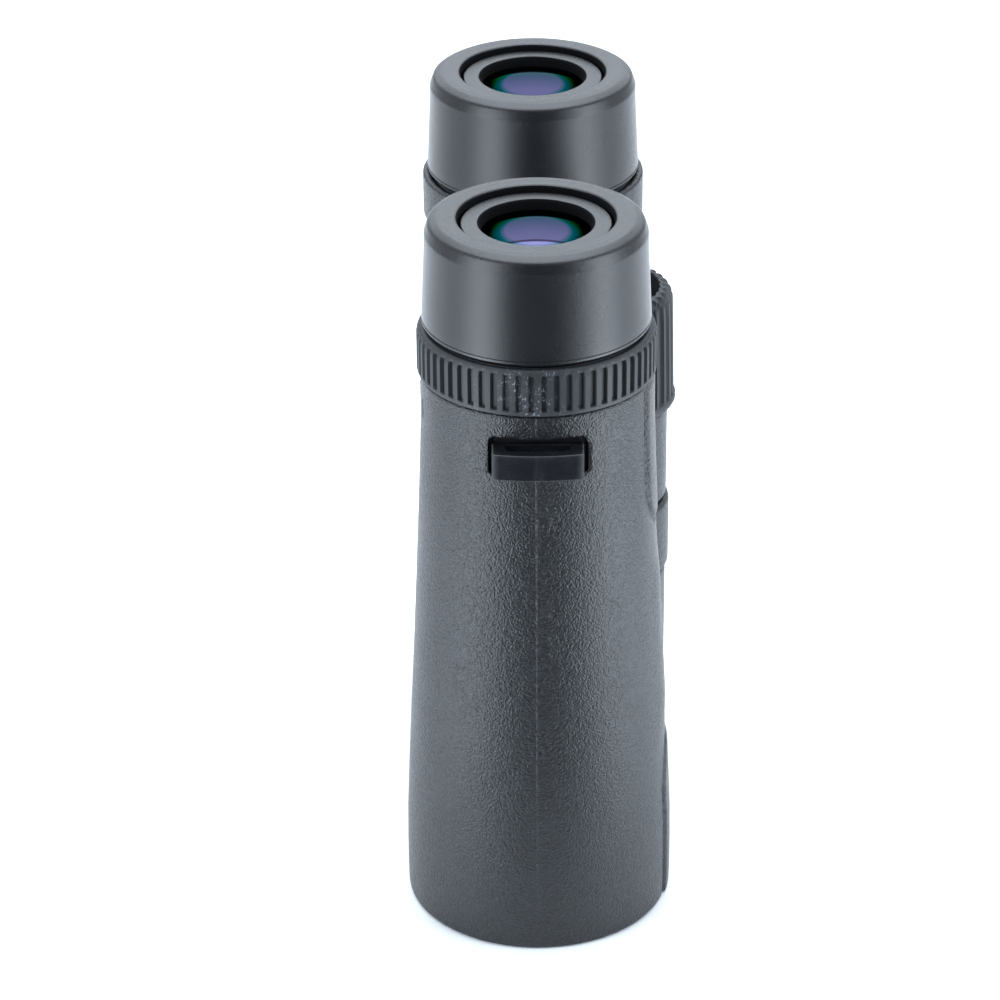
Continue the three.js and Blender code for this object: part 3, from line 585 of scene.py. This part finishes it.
def lug_pocket(u, y, z):
    """The pocket behind a strap lug, rounded at its upper corners."""
    half, foot, head = LUG_POCKET
    front = rounded_both(np.abs(y) - half + 0 * z, z - head + 0 * y, LUG_POCKET_CORNER)
    return np.maximum(np.maximum(front, LUG_BACK + u), foot - z)


def make_armour(side, sizes):
    voxel = sizes.armour_voxel / MM
    wall = sizes.armour_wall / MM
    us, ys, zs, (u, y, z), barrel, at_hinge, web = barrel_fields(side, voxel)
    top = ARMOUR_TOP[side]
    skin = barrel - dorsal_panels(sizes, u, y, z) * smoothstep(-z, -RING_LOW.z + 0.6, -RING_LOW.z + 2.0)
    outer = rounded_both(skin, -z + 0 * skin, 0.9)
    outer = rounded_both(outer, z - top + 0 * skin, 0.5)
    core = np.maximum(barrel + wall, LIP_HEIGHT - z)
    for knuckle in KNUCKLES[side]:
        plan = knuckle_plan(skin, at_hinge, web, knuckle[2])
        ends = knuckle_ends(knuckle, z, 0.0, 0.0) + 0 * plan
        outer = np.minimum(outer, rounded_both(plan, ends, 0.9))
        hollow = knuckle_plan(barrel, at_hinge, web, knuckle[2]) + wall
        core = np.minimum(core, np.maximum(hollow, knuckle_ends(knuckle, z, wall, -0.3)))
    field = np.maximum(outer, -core)
    lip = np.maximum(np.hypot(u, y) - FRONT_BORE, z - LIP_HEIGHT - 1)
    field = np.maximum(field, -rounded_both(lip, -z - 1.0 + 0 * lip, 0.1))
    field = np.maximum(field, AXLE_BORE - at_hinge + 0 * z)
    field = np.maximum(field, -lug_pocket(u, y, z))
    verts, faces = meshed(field, (us[0], ys[0], zs[0]), voxel, side)
    barrel = side + "_barrel"
    add_piece(barrel + "_armour", verts, faces, barrel, "leather", side + "_armour", crease=50.0)


def make_body_shell(side, sizes):
    voxel = sizes.shell_voxel / MM
    inset = (sizes.armour_wall + sizes.armour_fit) / MM
    us, ys, zs, (u, y, z), barrel, at_hinge, web = barrel_fields(side, voxel)
    rho = np.hypot(u, y) + 0 * z
    neck_top = RING_HIGH.z
    body = barrel + inset
    if side == "right":
        neck = box_mm("dioptre_ring_core")[1].y - 1.85
        body = np.where(z > RING_LOW.z - 0.3, rho - neck, body)
    outer = np.maximum(body, np.maximum(LIP_HEIGHT + 0.3 - z, z - neck_top))
    for knuckle in KNUCKLES[side]:
        plan = knuckle_plan(barrel, at_hinge, web, knuckle[2]) + inset
        outer = np.minimum(outer, np.maximum(plan, knuckle_ends(knuckle, z, inset, 0.0)))
    heights, radii = zip(*BODY_BORE)
    bore = np.array(radii)[np.searchsorted(heights, np.clip(z, 0, 129))]
    field = np.maximum(outer, bore - rho)
    field = np.maximum(field, AXLE_BORE - at_hinge + 0 * z)
    low, high = ARM_CHANNEL[side]
    channel = np.maximum(np.maximum(low - z, z - high), np.abs(knuckle_across(u, y)) - ARM_CHANNEL_HALF)
    field = np.maximum(field, -np.maximum(channel, -u))
    field = np.maximum(field, -lug_pocket(u, y, z))
    if side == "right":
        for knuckle in KNUCKLES[side]:
            sink = np.minimum(z - knuckle[0] - 1.1, knuckle[1] - 1.1 - z)
            field = np.maximum(field, -np.maximum(at_hinge - WASHER_SINK, sink))
    verts, faces = meshed(field, (us[0], ys[0], zs[0]), voxel, side)
    barrel = side + "_barrel"
    add_piece(barrel + "_shell", verts, faces, barrel, "plastic", side + "_body_shell", crease=50.0)


def knuckle_across(u, y):
    """Distance from the plane through a barrel's axis and the hinge."""
    reach = math.hypot(HINGE_REACH, HINGE.y)
    return (u * HINGE.y - y * HINGE_REACH) / reach


# ---------------------------------------------------------------- operators


class Maker(bpy.types.Operator):
    """Common ground of the operators, which make one piece or the same pieces on both sides."""

    bl_options = {"REGISTER", "UNDO"}

    def execute(self, context):
        self.make(context.scene.binocular_sizes, context.scene.binocular_colours)
        return {"FINISHED"}

    def make(self, sizes, colours):
        for side in SIDES:
            self.make_side(side, (BARREL_X[side], 0.0), sizes, colours)


class BINOCULARS_OT_armour(Maker):
    """Rubber armour of both barrels, with the knuckles it covers"""

    bl_idname = "binoculars.armour"
    bl_label = "Armour"

    def make_side(self, side, centre, sizes, colours):
        make_armour(side, sizes)


class BINOCULARS_OT_shells(Maker):
    """Body shells under the armour"""

    bl_idname = "binoculars.shells"
    bl_label = "Body Shells"

    def make_side(self, side, centre, sizes, colours):
        make_body_shell(side, sizes)


def turned_piece(name, corners, centre, body, look, *nodes, columns=128, steps=4):
    verts, faces = turned(softened(corners, steps), centre, columns)
    add_piece(name, verts, faces, body, look, *nodes)


class BINOCULARS_OT_eyecups(Maker):
    """Twist-up eyecups: rubber, shell and the click collar inside"""

    bl_idname = "binoculars.eyecups"
    bl_label = "Eyecups"

    def make_side(self, side, centre, sizes, colours):
        low, high = box_mm(side + "_eyecup_rubber")
        shell_low, shell_high = box_mm(side + "_eyecup_shell")
        foot, top = low.z, high.z
        wide = high.y  # foot of the rubber
        narrow = wide - 0.7
        shell_wide = shell_high.y
        under = shell_high.z + 0.3
        lip = box_mm(side + "_eyepiece_bezel")[1].y + 0.5
        rubber = [
            (shell_wide + 0.3, foot, 0.15), (wide - 0.5, foot, 0.1),
            (wide - 0.05, foot + 0.45, 0.15), (wide, foot + 0.95, 0.05),
            (wide - 0.14, foot + 1.05, 0.0), (wide - 0.14, foot + 1.17, 0.0),
            (wide - 0.01, foot + 1.27, 0.05), (wide - 0.12, foot + 3.4, 0.0),
            (wide - 0.38, foot + 9.0, 0.0), (narrow + 0.02, foot + 15.5, 0.0),
            (narrow, top - 2.9, 1.7), (narrow - 0.75, top - 0.9, 1.4),
            (narrow - 2.4, top - 0.1, 1.3), (narrow - 3.6, top, 0.6), (lip + 0.6, top - 0.12, 0.15),
            (lip + 0.3, top - 0.3, 0.12), (lip + 0.3, top - 1.2, 0.1), (lip, under, 0.1),
            (shell_wide - 0.4, under, 0.1),
        ]
        cup = side + "_eyecup"
        turned_piece(
            side + "_cup_rubber", rubber, centre, cup, "eyecup", cup + "_rubber", columns=192, steps=5
        )
        inner = shell_wide - 2.5
        # painted shade: a dead black ring on the rim's inner wall, which lies in shade in the groove
        # round the bezel
        rim_shade = [
            (lip, under + 0.1, 0.0), (lip + 0.33, under + 0.1, 0.0), (lip + 0.33, top - 0.5, 0.05),
            (lip + 0.12, top - 0.5, 0.05),
        ]
        turned_piece(side + "_rim_painted_shade", rim_shade, centre, cup, "flock", columns=160)
        shell = [
            (inner, shell_low.z, 0.2), (shell_wide, shell_low.z, 0.2),
            (shell_wide - 0.7, shell_high.z, 0.3), (inner - 1.65, shell_high.z, 0.2),
            (inner - 1.65, shell_high.z - 2.5, 0.2), (inner, shell_high.z - 2.5, 0.3),
        ]
        turned_piece(side + "_cup_shell", shell, centre, cup, "plastic", cup + "_shell")
        low, high = box_mm(side + "_eyecup_click_collar")
        collar = [
            (high.y - 1.3, low.z, 0.2), (high.y, low.z, 0.2), (high.y, low.z + 8.2, 0.1),
            (high.y - 0.35, low.z + 8.5, 0.1), (high.y - 0.35, low.z + 9.2, 0.1),
            (high.y, low.z + 9.5, 0.1), (high.y, high.z, 0.3), (high.y - 1.3, high.z, 0.2),
        ]
        turned_piece(
            side + "_click_collar", collar, centre, cup + "_turner", "plastic", cup + "_click_collar"
        )


EYE_MOUTH = 10.2  # radius of a bezel's opening
EYE_BULGE = 1.6  # height of an eye lens's dome
PAINTED_REFLECTION_DRIFT = -1.6  # along X, from the lens's axis to the middle of its coating and painted reflection, which puts more of the painted teal and black on the +X side


class BINOCULARS_OT_eyepieces(Maker):
    """Eyepiece housings, bezels and coated eye lenses"""

    bl_idname = "binoculars.eyepieces"
    bl_label = "Eyepieces"

    def make_side(self, side, centre, sizes, colours):
        body = side + "_barrel"
        low, high = box_mm(side + "_eyepiece_bezel")
        foot, top, outer = low.z, high.z, high.y
        mouth = EYE_MOUTH
        bezel = [
            (mouth + 0.5, foot, 0.1), (outer, foot, 0.15), (outer, top, 0.35),
            (mouth + 0.75, top, 0.10), (mouth + 0.7, top - 0.35, 0.1),
        ]
        baffle = [
            (mouth, foot, 0.05), (mouth + 0.45, foot, 0.05), (mouth + 0.68, top - 0.4, 0.0),
            (mouth + 0.74, top - 0.12, 0.0), (mouth + 0.58, top - 0.12, 0.05),
            (mouth + 0.40, top - 0.5, 0.05),
        ]
        turned_piece(side + "_baffle", baffle, centre, body, "flock", columns=160)
        turned_piece(
            side + "_bezel", bezel, centre, body, "eyecup", side + "_eyepiece_bezel", columns=160
        )
        low, high = box_mm(side + "_eye_lens")
        edge_foot, edge_top = low.z + 0.7, high.z - EYE_BULGE
        lens = lens_face(high.y, edge_foot, -0.7)[::-1] + lens_face(high.y, edge_top, EYE_BULGE, 16)
        verts, faces = turned(lens, centre, 128)
        glass = coated_lens(side + "_eye_coating_and_painted_reflection", centre, mouth, tuple(colours.coating), PAINTED_REFLECTION_DRIFT)
        add_piece(side + "_eye_glass", verts, faces, body, glass, side + "_eye_lens")
        low, high = box_mm(side + "_eyepiece_housing")
        flange_top = RING_HIGH.z - 0.3
        tube_step = high.z - 3.2
        housing = [
            (11.8, low.z, 0.2), (high.y, low.z, 0.3), (high.y, flange_top, 0.3),
            (14.8, flange_top, 0.4), (14.8, tube_step, 0.2), (14.1, tube_step, 0.1),
            (14.1, high.z, 0.2), (11.2, high.z, 0.1), (11.2, tube_step - 0.3, 0.1),
            (9.6, tube_step - 0.3, 0.1), (9.6, tube_step - 2.3, 0.2), (11.8, tube_step - 2.3, 0.2),
        ]
        turned_piece(side + "_housing", housing, centre, body, "plastic", side + "_eyepiece_housing")


def groove_shape(turns, ribs, width, flank):
    """0 on a rib and 1 in a flute, for each turn."""
    share = np.abs(((turns * ribs / (2 * math.pi)) % 1.0) - 0.5)
    return smoothstep(-share, -width / 2 - flank, -width / 2)


RING_FLUTE_WIDTH = 0.36  # share of a flute and its rib


class BINOCULARS_OT_dioptre_ring(Maker):
    """Fluted dioptre ring with its core"""

    bl_idname = "binoculars.dioptre_ring"
    bl_label = "Dioptre Ring"

    def make(self, sizes, colours):
        centre = (BARREL_X["right"], 0.0)
        low, high = RING_LOW, RING_HIGH
        outer = COLLAR_RADIUS
        core = box_mm("dioptre_ring_core")[1]
        depth = sizes.ring_rib / MM
        ribs = sizes.ring_ribs

        def flute(r, z, turns):
            band = smoothstep(z, low.z + 0.85, low.z + 1.15)
            band = band * smoothstep(-z, -high.z + 0.8, -high.z + 1.25)
            weight = band if r > outer - 0.6 else 0.0
            return r - depth * weight * groove_shape(turns, ribs, RING_FLUTE_WIDTH, 0.07)

        inner = core.y + 0.3
        side_heights = [0.35, 0.7, 0.85, 0.95, 1.05, 1.15, 2.0, 3.5, 5.0, 6.5, 7.4]
        points = [(inner, low.z), (outer - 0.35, low.z), (outer - 0.12, low.z + 0.1)]
        points += [(outer, low.z + h) for h in side_heights]
        points += [(outer - 0.08, high.z - 1.3), (outer - 0.2, high.z - 0.95)]
        points += [(outer - 0.42, high.z - 0.5), (outer - 0.68, high.z - 0.14)]
        points += [(outer - 1.0, high.z), (inner, high.z)]
        verts, faces = turned(points, centre, ribs * 14, flute)
        add_piece("dioptre_grip", verts, faces, "dioptre_ring", "grip", "dioptre_ring_grip")
        bore = core.y - 1.5
        bare = [(bore, low.z, 0.2), (core.y, low.z, 0.2), (core.y, high.z, 0.2), (bore, high.z, 0.2)]
        turned_piece("dioptre_core", bare, centre, "dioptre_ring", "plastic", "dioptre_ring_core")


WHEEL_TAPER = 0.02  # how far the wheel narrows for each millimetre up
WHEEL_FLUTE_WIDTH = 0.42  # share of a flute and its rib
WHEEL_FLUTE_LEAN = 0.6 * 6.283  # turn of the flutes over the rounded top, times their number


class BINOCULARS_OT_focus_wheel(Maker):
    """Fluted focus wheel with its hub and cover"""

    bl_idname = "binoculars.focus_wheel"
    bl_label = "Focus Wheel"

    def make(self, sizes, colours):
        centre = (HINGE.x, HINGE.y)
        low, high = box_mm("focus_wheel_grip")
        outer = high.x
        hub_low, hub_high = box_mm("focus_wheel_hub")
        depth = sizes.wheel_rib / MM
        ribs = sizes.wheel_ribs

        def flute(r, z, turns):
            weight = smoothstep(z, low.z + 1.6, low.z + 2.4) * (1.0 if r > outer - 2.9 else 0.0)
            lean = WHEEL_FLUTE_LEAN * smoothstep(z, high.z - 2.4, high.z) / ribs
            return r - depth * weight * groove_shape(turns + lean, ribs, WHEEL_FLUTE_WIDTH, 0.16)

        hub = hub_high.x
        lip = hub - 1.0
        points = [(hub + 0.3, low.z), (outer - 0.7, low.z), (outer - 0.2, low.z + 0.2)]
        points += [(outer, low.z + 0.6), (outer, low.z + 1.2), (outer - 0.15, low.z + 1.7)]
        side_heights = (2.1, 2.4, 2.8, 4.0, 7.0, 10.0, 13.0, 16.0, 19.0, 21.0)
        points += [(outer - 0.3 - WHEEL_TAPER * h, low.z + h) for h in side_heights]
        top = outer - 0.7
        points += [(top - 0.1, high.z - 2.0), (top - 0.4, high.z - 1.2), (top - 0.9, high.z - 0.5)]
        points += [(top - 1.5, high.z - 0.1), (top - 2.0, high.z), (lip + 0.3, high.z)]
        points += [(lip, high.z - 0.3), (lip, hub_high.z + 0.3), (hub + 0.3, hub_high.z + 0.3)]
        verts, faces = turned(points, centre, ribs * 16, flute)
        add_piece("wheel_grip", verts, faces, "focus_wheel", "grip", "focus_wheel_grip")
        web = hub_high.z - 5.0
        axle, screw = 7.35, 3.3
        profile = [
            (axle, hub_low.z, 0.2), (hub, hub_low.z, 0.3), (hub, hub_high.z, 0.3),
            (hub - 1.5, hub_high.z, 0.3), (hub - 1.5, web, 0.2), (screw, web, 0.1),
            (screw, web - 2.5, 0.1), (axle, web - 2.5, 0.2),
        ]
        turned_piece("wheel_hub", profile, centre, "focus_wheel", "black_metal", "focus_wheel_hub")
        low, high = box_mm("focus_wheel_cover")
        edge = high.x
        cover = [
            (0.0, low.z, 0.0), (edge, low.z, 0.2), (edge, high.z, 0.35), (edge - 1.6, high.z, 0.2),
            (edge - 1.9, high.z - 0.5, 0.2), (1.0, high.z - 0.5, 0.0), (0.0, high.z - 0.5, 0.0),
        ]
        turned_piece("wheel_cover", cover, centre, "focus_wheel", "plastic", "focus_wheel_cover")


class BINOCULARS_OT_hinge_cap(Maker):
    """Dished cap on the hinge's lower end"""

    bl_idname = "binoculars.hinge_cap"
    bl_label = "Hinge Cap"

    def make(self, sizes, colours):
        low, high = box_mm("hinge_end_cap")
        edge = high.x
        seat = high.z - 1.9
        cap = [
            (0.0, low.z + 0.35, 0.0), (2.2, low.z + 0.35, 0.2), (2.6, low.z, 0.2),
            (edge - 2.0, low.z, 0.3), (edge - 1.2, low.z + 0.15, 0.3), (edge, low.z + 1.1, 0.4),
            (edge, seat, 0.15), (7.0, seat, 0.1), (7.0, high.z, 0.2), (0.0, high.z, 0.0),
        ]
        turned_piece("hinge_cap", cap, (HINGE.x, HINGE.y), "left_barrel", "plastic", "hinge_end_cap")


class BINOCULARS_OT_objectives(Maker):
    """Objective lenses and their retaining rings"""

    bl_idname = "binoculars.objectives"
    bl_label = "Objectives"

    def make_side(self, side, centre, sizes, colours):
        body = side + "_barrel"
        low, high = box_mm(side + "_objective_front_lens")
        edge = low.z + 2.6
        lens = lens_face(high.y, edge, -2.6)[::-1] + lens_face(high.y, edge + 3.0, 1.6)
        verts, faces = turned(lens, centre, 128)
        tint = darker(tuple(colours.coating), 0.55)
        glass = coated_lens(side + "_objective_coating_and_painted_reflection", centre, high.y, tint)
        lens = side + "_objective_front_lens"
        add_piece(side + "_objective_glass", verts, faces, body, glass, lens)
        low, high = box_mm(side + "_objective_retaining_ring")
        inner = high.y - 1.7
        ring = [
            (inner + 0.5, low.z, 0.15), (high.y, low.z, 0.25), (high.y, high.z, 0.2),
            (inner, high.z, 0.15), (inner, low.z + 0.6, 0.15),
        ]
        seat = side + "_objective_retaining_ring"
        turned_piece(side + "_retaining_ring", ring, centre, body, "black_metal", seat, columns=160)


LUG_BOW = 0.9  # how far a lug's bar bows out
LUG_BEVEL = 0.4  # rounding of a lug's edges


class BINOCULARS_OT_strap_lugs(Maker):
    """Bowed strap bars in their pockets"""

    bl_idname = "binoculars.strap_lugs"
    bl_label = "Strap Lugs"

    def make_side(self, side, centre, sizes, colours):
        sign = SIDES[side]
        low, high = box_mm(side + "_strap_lug")
        axis = BARREL_X[side]
        half = high.y
        face = max(abs(low.x - axis), abs(high.x - axis))
        back = min(abs(low.x - axis), abs(high.x - axis))
        bow, bar, plate, slot, corner = LUG_BOW, 1.7, 1.0, 5.95, 1.3
        steps = 24
        outline = [(back, -half)]
        for i in range(steps + 1):
            share = 2 * i / steps - 1
            outline.append((face - bow * share**2, half * share))
        outline.append((back, half))
        inner = face - bow - bar
        hole = [(back + plate, -slot)]
        for i in range(7):
            bend = math.pi / 2 * i / 6
            hole.append((inner - corner * (1 - math.sin(bend)), -slot + corner * (1 - math.cos(bend))))
        hole += [(x, -y) for x, y in reversed(hole)]
        piece = make_lug(side, sign, axis, outline, hole, low.z, high.z)
        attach(piece, side + "_barrel")
        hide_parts(side + "_strap_lug")


def make_lug(side, sign, axis, outline, hole, foot, top):
    """A plate with a bowed bar, cut through by the strap slot and bevelled."""
    curve = bpy.data.curves.new(side + "_lug_outline", "CURVE")
    curve.dimensions = "2D"
    curve.fill_mode = "BOTH"
    for points in (outline, hole):
        spline = curve.splines.new("POLY")
        spline.points.add(len(points) - 1)
        for point, (x, y) in zip(spline.points, points):
            point.co = ((axis + sign * x) * MM, y * MM, 0.0, 1.0)
        spline.use_cyclic_u = True
    curve.extrude = ((top - foot) / 2 - LUG_BEVEL) * MM
    curve.bevel_depth = LUG_BEVEL * MM
    curve.bevel_resolution = 3
    curve.offset = -LUG_BEVEL * MM
    drawn = bpy.data.objects.new(side + "_lug_curve", curve)
    drawn.location.z = (foot + top) / 2 * MM
    bpy.context.scene.collection.objects.link(drawn)
    bpy.context.view_layer.update()
    graph = bpy.context.evaluated_depsgraph_get()
    mesh = bpy.data.meshes.new_from_object(drawn.evaluated_get(graph))
    mesh.transform(drawn.matrix_world)
    bpy.data.objects.remove(drawn)
    welded(mesh)
    mesh.name = side + "_lug"
    mesh.materials.clear()
    mesh.materials.append(finish("lug"))
    mesh.shade_smooth()
    mesh.set_sharp_from_angle(angle=math.radians(40))
    piece = bpy.data.objects.new(side + "_lug", mesh)
    bpy.context.scene.collection.objects.link(piece)
    return piece


def welded(mesh):
    """Joins the vertices that lie on each other."""
    work = bmesh.new()
    work.from_mesh(mesh)
    bmesh.ops.remove_doubles(work, verts=work.verts, dist=1e-6)
    bmesh.ops.recalc_face_normals(work, faces=work.faces)
    work.to_mesh(mesh)
    work.free()


class BINOCULARS_OT_marks(Maker):
    """Plain index marks beside the dioptre ring"""

    bl_idname = "binoculars.marks"
    bl_label = "Index Marks"

    def make(self, sizes, colours):
        verts, faces = [], []
        for turn, height, wide, tall in MARKS:
            add_inlay(verts, faces, BARREL_X["right"], turn, height, wide, tall)
        add_piece("index_marks", verts, faces, "right_barrel", "mark")


# Marks on the armour: turn from the outer side, height, width round the barrel and height of each
MARKS = (
    (-78.0, 108.9, 0.45, 2.2),
    (-78.0, 106.8, 0.40, 1.0),
    (-78.0, 107.5, 1.30, 0.30),
    (-88.0, 110.6, 0.50, 3.0),
    (-98.0, 107.5, 1.40, 0.35),
)


def add_inlay(verts, faces, axis, turn, height, wide, tall):
    """A thin curved tile that lies in the right armour's surface."""
    heights, radii = zip(*BARREL_PROFILE)
    outer = float(np.interp(height, heights, radii)) + 0.05
    first = len(verts)
    steps = 4
    for depth in (0.0, 0.5):
        for i in range(steps + 1):
            angle = math.radians(180 + turn) + (i / steps - 0.5) * wide / outer
            for level in (-tall / 2, tall / 2):
                r = outer - depth
                verts.append((axis + r * math.cos(angle), r * math.sin(angle), height + level))
    back = first + 2 * (steps + 1)
    for i in range(steps):
        a, b = first + 2 * i, back + 2 * i
        faces.append((a, a + 2, a + 3, a + 1))
        faces.append((b, b + 1, b + 3, b + 2))
        faces.append((a, b, b + 2, a + 2))
        faces.append((a + 1, a + 3, b + 3, b + 1))
    a, b = first, back
    faces.append((a, a + 1, b + 1, b))
    a, b = first + 2 * steps, back + 2 * steps
    faces.append((a, b, b + 1, a + 1))


class BINOCULARS_OT_inside(Maker):
    """Finishes of the parts inside, whose shapes stay as they are"""

    bl_idname = "binoculars.inside"
    bl_label = "Inner Parts"

    def make(self, sizes, colours):
        by_slot = {
            "black_metal": "black_metal",
            "steel": "steel",
            "brass": "brass",
            "clear_glass": "glass",
            "black_plastic": "plastic",
            "coated_glass": "glass",
        }
        for row in frame["record"]["subparts"]:
            part = frame["nodes"][row["node"]]
            if part.hide_render:
                continue
            if row["material_slot"] not in by_slot:
                raise RuntimeError(f"{row['node']} has no finish")
            part.data.materials.clear()
            part.data.materials.append(finish(by_slot[row["material_slot"]]))


class BINOCULARS_OT_stage(Maker):
    """Pale floor, soft light and the camera"""

    bl_idname = "binoculars.stage"
    bl_label = "Studio"

    def make(self, sizes, colours):
        add_floor(colours)
        add_flag()
        add_world()
        for lamp in LAMPS:
            add_lamp(*lamp)
        add_camera()


LAMPS = (  # name, place and aim, width and height in metres, power in watts
    ("key_left", (-0.3115, 0.406, 0.225), (-0.03, 0.0, 0.10), 0.28, 0.44, 2.4),
    ("key_right", (-0.221, -0.454, 0.225), (-0.03, 0.0, 0.10), 0.28, 0.44, 2.4),
    ("low_left", (-0.1605, 0.182, 0.003), (-0.1605, 0.182, 1.0), 0.095, 0.23, 0.36),
    ("low_right", (-0.1135, -0.2085, 0.003), (-0.1135, -0.2085, 1.0), 0.095, 0.23, 0.38),
    ("back", (0.75, 0.0, 0.52), (0.0, 0.0, 0.14), 0.9, 0.5, 2.4),
    ("top", (0.25, 0.0, 0.95), (0.0, 0.0, 0.0), 0.9, 0.9, 12.0),
)
FLAG = (0.085, 0.55, 36.0)  # nearest and furthest edge from the right barrel's axis, half angle


def add_flag():
    """Black card on the floor before the right barrel, which only glossy surfaces mirror."""
    near, far, half = FLAG
    mesh = bpy.data.meshes.new("flag")
    verts, faces, steps = [], [], 12
    for i in range(steps + 1):
        turn = math.radians(180 - half + 2 * half * i / steps)
        for reach in (near, far):
            x = BARREL_X["right"] * MM + reach * math.cos(turn)
            verts.append((x, reach * math.sin(turn), 0.0006))
    for i in range(steps):
        a = 2 * i
        faces.append((a, a + 1, a + 3, a + 2))
    mesh.from_pydata(verts, [], faces)
    mesh.materials.append(finish("flock"))
    flag = bpy.data.objects.new("flag", mesh)
    flag.visible_camera = False
    flag.visible_diffuse = False
    flag.visible_shadow = False
    bpy.context.scene.collection.objects.link(flag)


def add_floor(colours):
    mesh = bpy.data.meshes.new("floor")
    reach, steps = 3.0, 6
    spots = [-reach + 2 * reach * i / steps for i in range(steps + 1)]
    verts = [(x, y, 0.0) for x in spots for y in spots]
    faces = []
    for i in range(steps):
        for j in range(steps):
            a = i * (steps + 1) + j
            faces.append((a, a + steps + 1, a + steps + 2, a + 1))
    mesh.from_pydata(verts, [], faces)
    mesh.materials.append(studio_floor(tuple(colours.floor)))
    floor = bpy.data.objects.new("floor", mesh)
    bpy.context.scene.collection.objects.link(floor)


def add_world():
    """White all round, dimmer on the side that the camera stands on."""
    world = bpy.data.worlds.new("studio")
    world.use_nodes = True
    tree = world.node_tree
    nodes = Nodes(tree)
    tree.nodes.clear()
    way = nodes.add("ShaderNodeTexCoord").outputs["Generated"]
    east = nodes.add("ShaderNodeSeparateXYZ", {0: way}).outputs["X"]
    level = nodes.spread(east, -0.95, -0.1, 0.03, 0.95)
    light = nodes.add("ShaderNodeBackground", {"Color": (0.86, 0.93, 1.0, 1.0), "Strength": level})
    plain = nodes.add("ShaderNodeBackground", {"Color": (1.0, 1.0, 1.0, 1.0), "Strength": 1.02})
    seen = nodes.add("ShaderNodeLightPath").outputs["Is Camera Ray"]
    both = nodes.add("ShaderNodeMixShader", {0: seen, 1: light.outputs[0], 2: plain.outputs[0]})
    nodes.add("ShaderNodeOutputWorld", {0: both.outputs[0]})
    bpy.context.scene.world = world


def add_lamp(name, place, aim, width, height, power):
    data = bpy.data.lights.new(name, "AREA")
    data.shape = "RECTANGLE"
    data.size, data.size_y = width, height
    data.energy = power
    data.color = (0.82, 0.91, 1.0)
    lamp = bpy.data.objects.new(name, data)
    lamp.location = place
    lamp.rotation_mode = "QUATERNION"
    way = Vector(aim) - Vector(place)
    if abs(way.x) + abs(way.y) > 1e-6:
        lamp.rotation_quaternion = way.to_track_quat("-Z", "Y")
    else:  # lies on the floor, with its length pointing at the object
        around = math.atan2(place[1], place[0] - BARREL_X["right"] * MM)
        lamp.rotation_quaternion = (
            Matrix.Rotation(around - math.pi / 2, 3, "Z") @ Matrix.Rotation(math.pi, 3, "Y")
        ).to_quaternion()
    lamp.visible_camera = False
    bpy.context.scene.collection.objects.link(lamp)


def add_camera():
    """A long lens that looks down on the right barrel from its outer side."""
    lens, place = 133.3, (-0.66765, 0.00535, 0.41559)
    pan, tilt, roll = -0.00278, 0.48164, -0.00814
    data = bpy.data.cameras.new("camera")
    data.lens = lens
    data.sensor_width = 36.0
    camera = bpy.data.objects.new("camera", data)
    flat = math.cos(tilt)
    forward = Vector((math.cos(pan) * flat, -math.sin(pan) * flat, -math.sin(tilt)))
    level = forward.cross(Vector((0, 0, 1))).normalized()
    rise = level.cross(forward)
    right = level * math.cos(roll) + rise * math.sin(roll)
    up = rise * math.cos(roll) - level * math.sin(roll)
    turn = Matrix((right, up, -forward)).transposed().to_4x4()
    camera.matrix_world = Matrix.Translation(place) @ turn
    bpy.context.scene.collection.objects.link(camera)
    bpy.context.scene.camera = camera
    bpy.context.scene.view_settings.view_transform = "Standard"


OPERATORS = (
    BINOCULARS_OT_armour,
    BINOCULARS_OT_shells,
    BINOCULARS_OT_eyecups,
    BINOCULARS_OT_eyepieces,
    BINOCULARS_OT_dioptre_ring,
    BINOCULARS_OT_focus_wheel,
    BINOCULARS_OT_hinge_cap,
    BINOCULARS_OT_objectives,
    BINOCULARS_OT_strap_lugs,
    BINOCULARS_OT_marks,
    BINOCULARS_OT_inside,
    BINOCULARS_OT_stage,
)


class BINOCULARS_PT_panel(bpy.types.Panel):
    """Lists the pieces and their settings"""

    bl_label = "Binoculars"
    bl_space_type = "VIEW_3D"
    bl_region_type = "UI"
    bl_category = "Binoculars"

    def draw(self, context):
        for operator in OPERATORS:
            self.layout.operator(operator.bl_idname)
        for group in (context.scene.binocular_sizes, context.scene.binocular_colours):
            column = self.layout.column(align=True)
            for name in group.__annotations__:
                column.prop(group, name)


CLASSES = (BinocularSizes, BinocularColours, *OPERATORS, BINOCULARS_PT_panel)


def register():
    for each in CLASSES:
        bpy.utils.register_class(each)
    bpy.types.Scene.binocular_sizes = bpy.props.PointerProperty(type=BinocularSizes)
    bpy.types.Scene.binocular_colours = bpy.props.PointerProperty(type=BinocularColours)


def unregister():
    del bpy.types.Scene.binocular_colours
    del bpy.types.Scene.binocular_sizes
    for each in reversed(CLASSES):
        bpy.utils.unregister_class(each)


def main():
    register()
    for operator in OPERATORS:
        group, name = operator.bl_idname.split(".")
        getattr(getattr(bpy.ops, group), name)()


if __name__ == "__main__":
    main()
